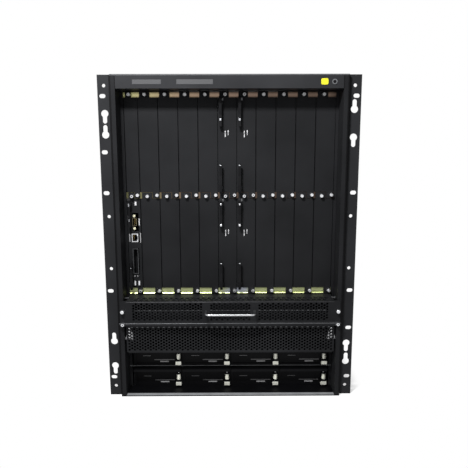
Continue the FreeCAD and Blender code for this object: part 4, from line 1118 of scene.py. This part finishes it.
# ---- stage ----


class CHASSIS_OT_stage(Operator):
    """Set the floor, the light and the camera"""

    bl_idname = "chassis.stage"
    bl_label = "Stage"

    def execute(self, context):
        make_floor()
        make_world()
        make_lights()
        make_camera()
        context.scene.view_settings.view_transform = "Standard"
        return {"FINISHED"}


def seen_rays(tree):
    """1 for camera, glossy and transmission rays, 0 for the rest."""
    rays = add_node(tree, "ShaderNodeLightPath").outputs
    seen = calculate(tree, "MAXIMUM", rays["Is Camera Ray"], rays["Is Glossy Ray"])
    return calculate(tree, "MAXIMUM", seen, rays["Is Transmission Ray"])


def make_floor():
    """A pale floor that keeps the shadow near the chassis and is plain white further out."""
    bm = bmesh.new()
    bmesh.ops.create_grid(bm, x_segments=1, y_segments=1, size=8)
    move(bm, bm.verts, 0, 0, cad_low.z)
    floor = new_object("floor", new_mesh("floor", bm))
    pale = Finish("floor_pale", (0.85, 0.85, 0.85), 0, 0.9)
    tree = pale.tree
    seen = seen_rays(tree)
    pale.set({"Specular IOR Level": 0, "Emission Color": (1, 1, 1, 1),
              "Emission Strength": calculate(tree, "MULTIPLY", seen, 0.55)})
    away = pale.place
    for operation, amount in (("ABSOLUTE", (0, 0, 0)), ("SUBTRACT", (cad_high.x, cad_high.y, 0)),
                              ("MAXIMUM", (0, 0, 0)), ("LENGTH", (0, 0, 0))):
        step = pale.node("ShaderNodeVectorMath", {0: away, 1: amount}, operation=operation)
        away = step.outputs["Value" if operation == "LENGTH" else "Vector"]
    fade = pale.node("ShaderNodeMapRange", {"From Min": 0, "From Max": 0.035, "Value": away},
                     interpolation_type="SMOOTHSTEP")
    far = calculate(tree, "MULTIPLY", fade.outputs["Result"], seen)
    white = pale.node("ShaderNodeEmission").outputs["Emission"]
    mix = pale.node("ShaderNodeMixShader", {"Fac": far, 1: pale.shader.outputs["BSDF"], 2: white})
    fill(tree, tree.nodes["Material Output"], {"Surface": mix.outputs["Shader"]})
    floor.data.materials.append(pale.material)


def make_world():
    """White where it is seen, softer as a light."""
    world = bpy.data.worlds.new("studio")
    bpy.context.scene.world = world
    world.use_nodes = True
    tree = world.node_tree
    level = add_node(tree, "ShaderNodeMapRange",
                     {"To Min": stage().sky_level, "To Max": 1, "Value": seen_rays(tree)})
    fill(tree, tree.nodes["Background"], {"Color": (1, 1, 1, 1), "Strength": level.outputs["Result"]})


def make_light(name, power, place, aim, width, height):
    lamp = bpy.data.lights.new(name, "AREA")
    lamp.shape = "RECTANGLE"
    lamp.size, lamp.size_y = width, height
    lamp.energy = power
    holder = new_object(name, lamp)
    holder.location = place
    holder.rotation_euler = (Vector(aim) - Vector(place)).to_track_quat("-Z", "Y").to_euler()


def make_lights():
    setting = stage()
    top = cad_high.z
    make_light("key_light", setting.key_power, (-0.22, -0.92, top + 0.44), (-0.14, -0.3, top * 0.9), 0.18, 0.1)
    make_light("fill_light", setting.fill_power, (-0.7, -1.7, 1.0), (0, -0.3, top), 0.8, 0.8)


def make_camera():
    setting = stage()
    lens = bpy.data.cameras.new("camera")
    lens.lens = setting.focal_length
    lens.sensor_width = 36
    holder = new_object("camera", lens)
    turn = Matrix.Rotation(-setting.camera_turn, 4, "Z")
    tilt = Matrix.Rotation(math.radians(90) - setting.camera_tilt, 4, "X")
    roll = Matrix.Rotation(setting.camera_roll, 4, "Z")
    place = Matrix.Translation((setting.camera_side, setting.camera_front, setting.camera_height))
    holder.matrix_world = place @ turn @ tilt @ roll
    bpy.context.scene.camera = holder


# ---- panel and registration ----

STEPS = (
    CHASSIS_OT_finishes,
    CHASSIS_OT_fan_tray,
    CHASSIS_OT_filter_tray,
    CHASSIS_OT_intake_grille,
    CHASSIS_OT_foot_rail,
    CHASSIS_OT_screws,
    CHASSIS_OT_levers,
    CHASSIS_OT_lamps,
    CHASSIS_OT_management_ports,
    CHASSIS_OT_header,
    CHASSIS_OT_supply_fronts,
    CHASSIS_OT_stage,
)
SETTINGS = {
    "chassis_finishes": ChassisFinishes,
    "chassis_detail": ChassisDetail,
    "chassis_stage": ChassisStage,
}


class CHASSIS_PT_pieces(Panel):
    """Lists the steps that dress the chassis"""

    bl_idname = "CHASSIS_PT_pieces"
    bl_label = "Chassis switch"
    bl_space_type = "VIEW_3D"
    bl_region_type = "UI"
    bl_category = "Chassis"

    def draw(self, context):
        for step in STEPS:
            self.layout.operator(step.bl_idname)
        for name, group in SETTINGS.items():
            box = self.layout.box()
            for setting in group.__annotations__:
                box.prop(getattr(context.scene, name), setting)


def register():
    for cls in (*SETTINGS.values(), *STEPS, CHASSIS_PT_pieces):
        bpy.utils.register_class(cls)
    for name, group in SETTINGS.items():
        setattr(bpy.types.Scene, name, PointerProperty(type=group))


def unregister():
    for name in SETTINGS:
        delattr(bpy.types.Scene, name)
    for cls in reversed((*SETTINGS.values(), *STEPS, CHASSIS_PT_pieces)):
        bpy.utils.unregister_class(cls)


def main():
    register()
    for step in STEPS:
        group, name = step.bl_idname.split(".")
        getattr(getattr(bpy.ops, group), name)()


if __name__ == "__main__":
    main()
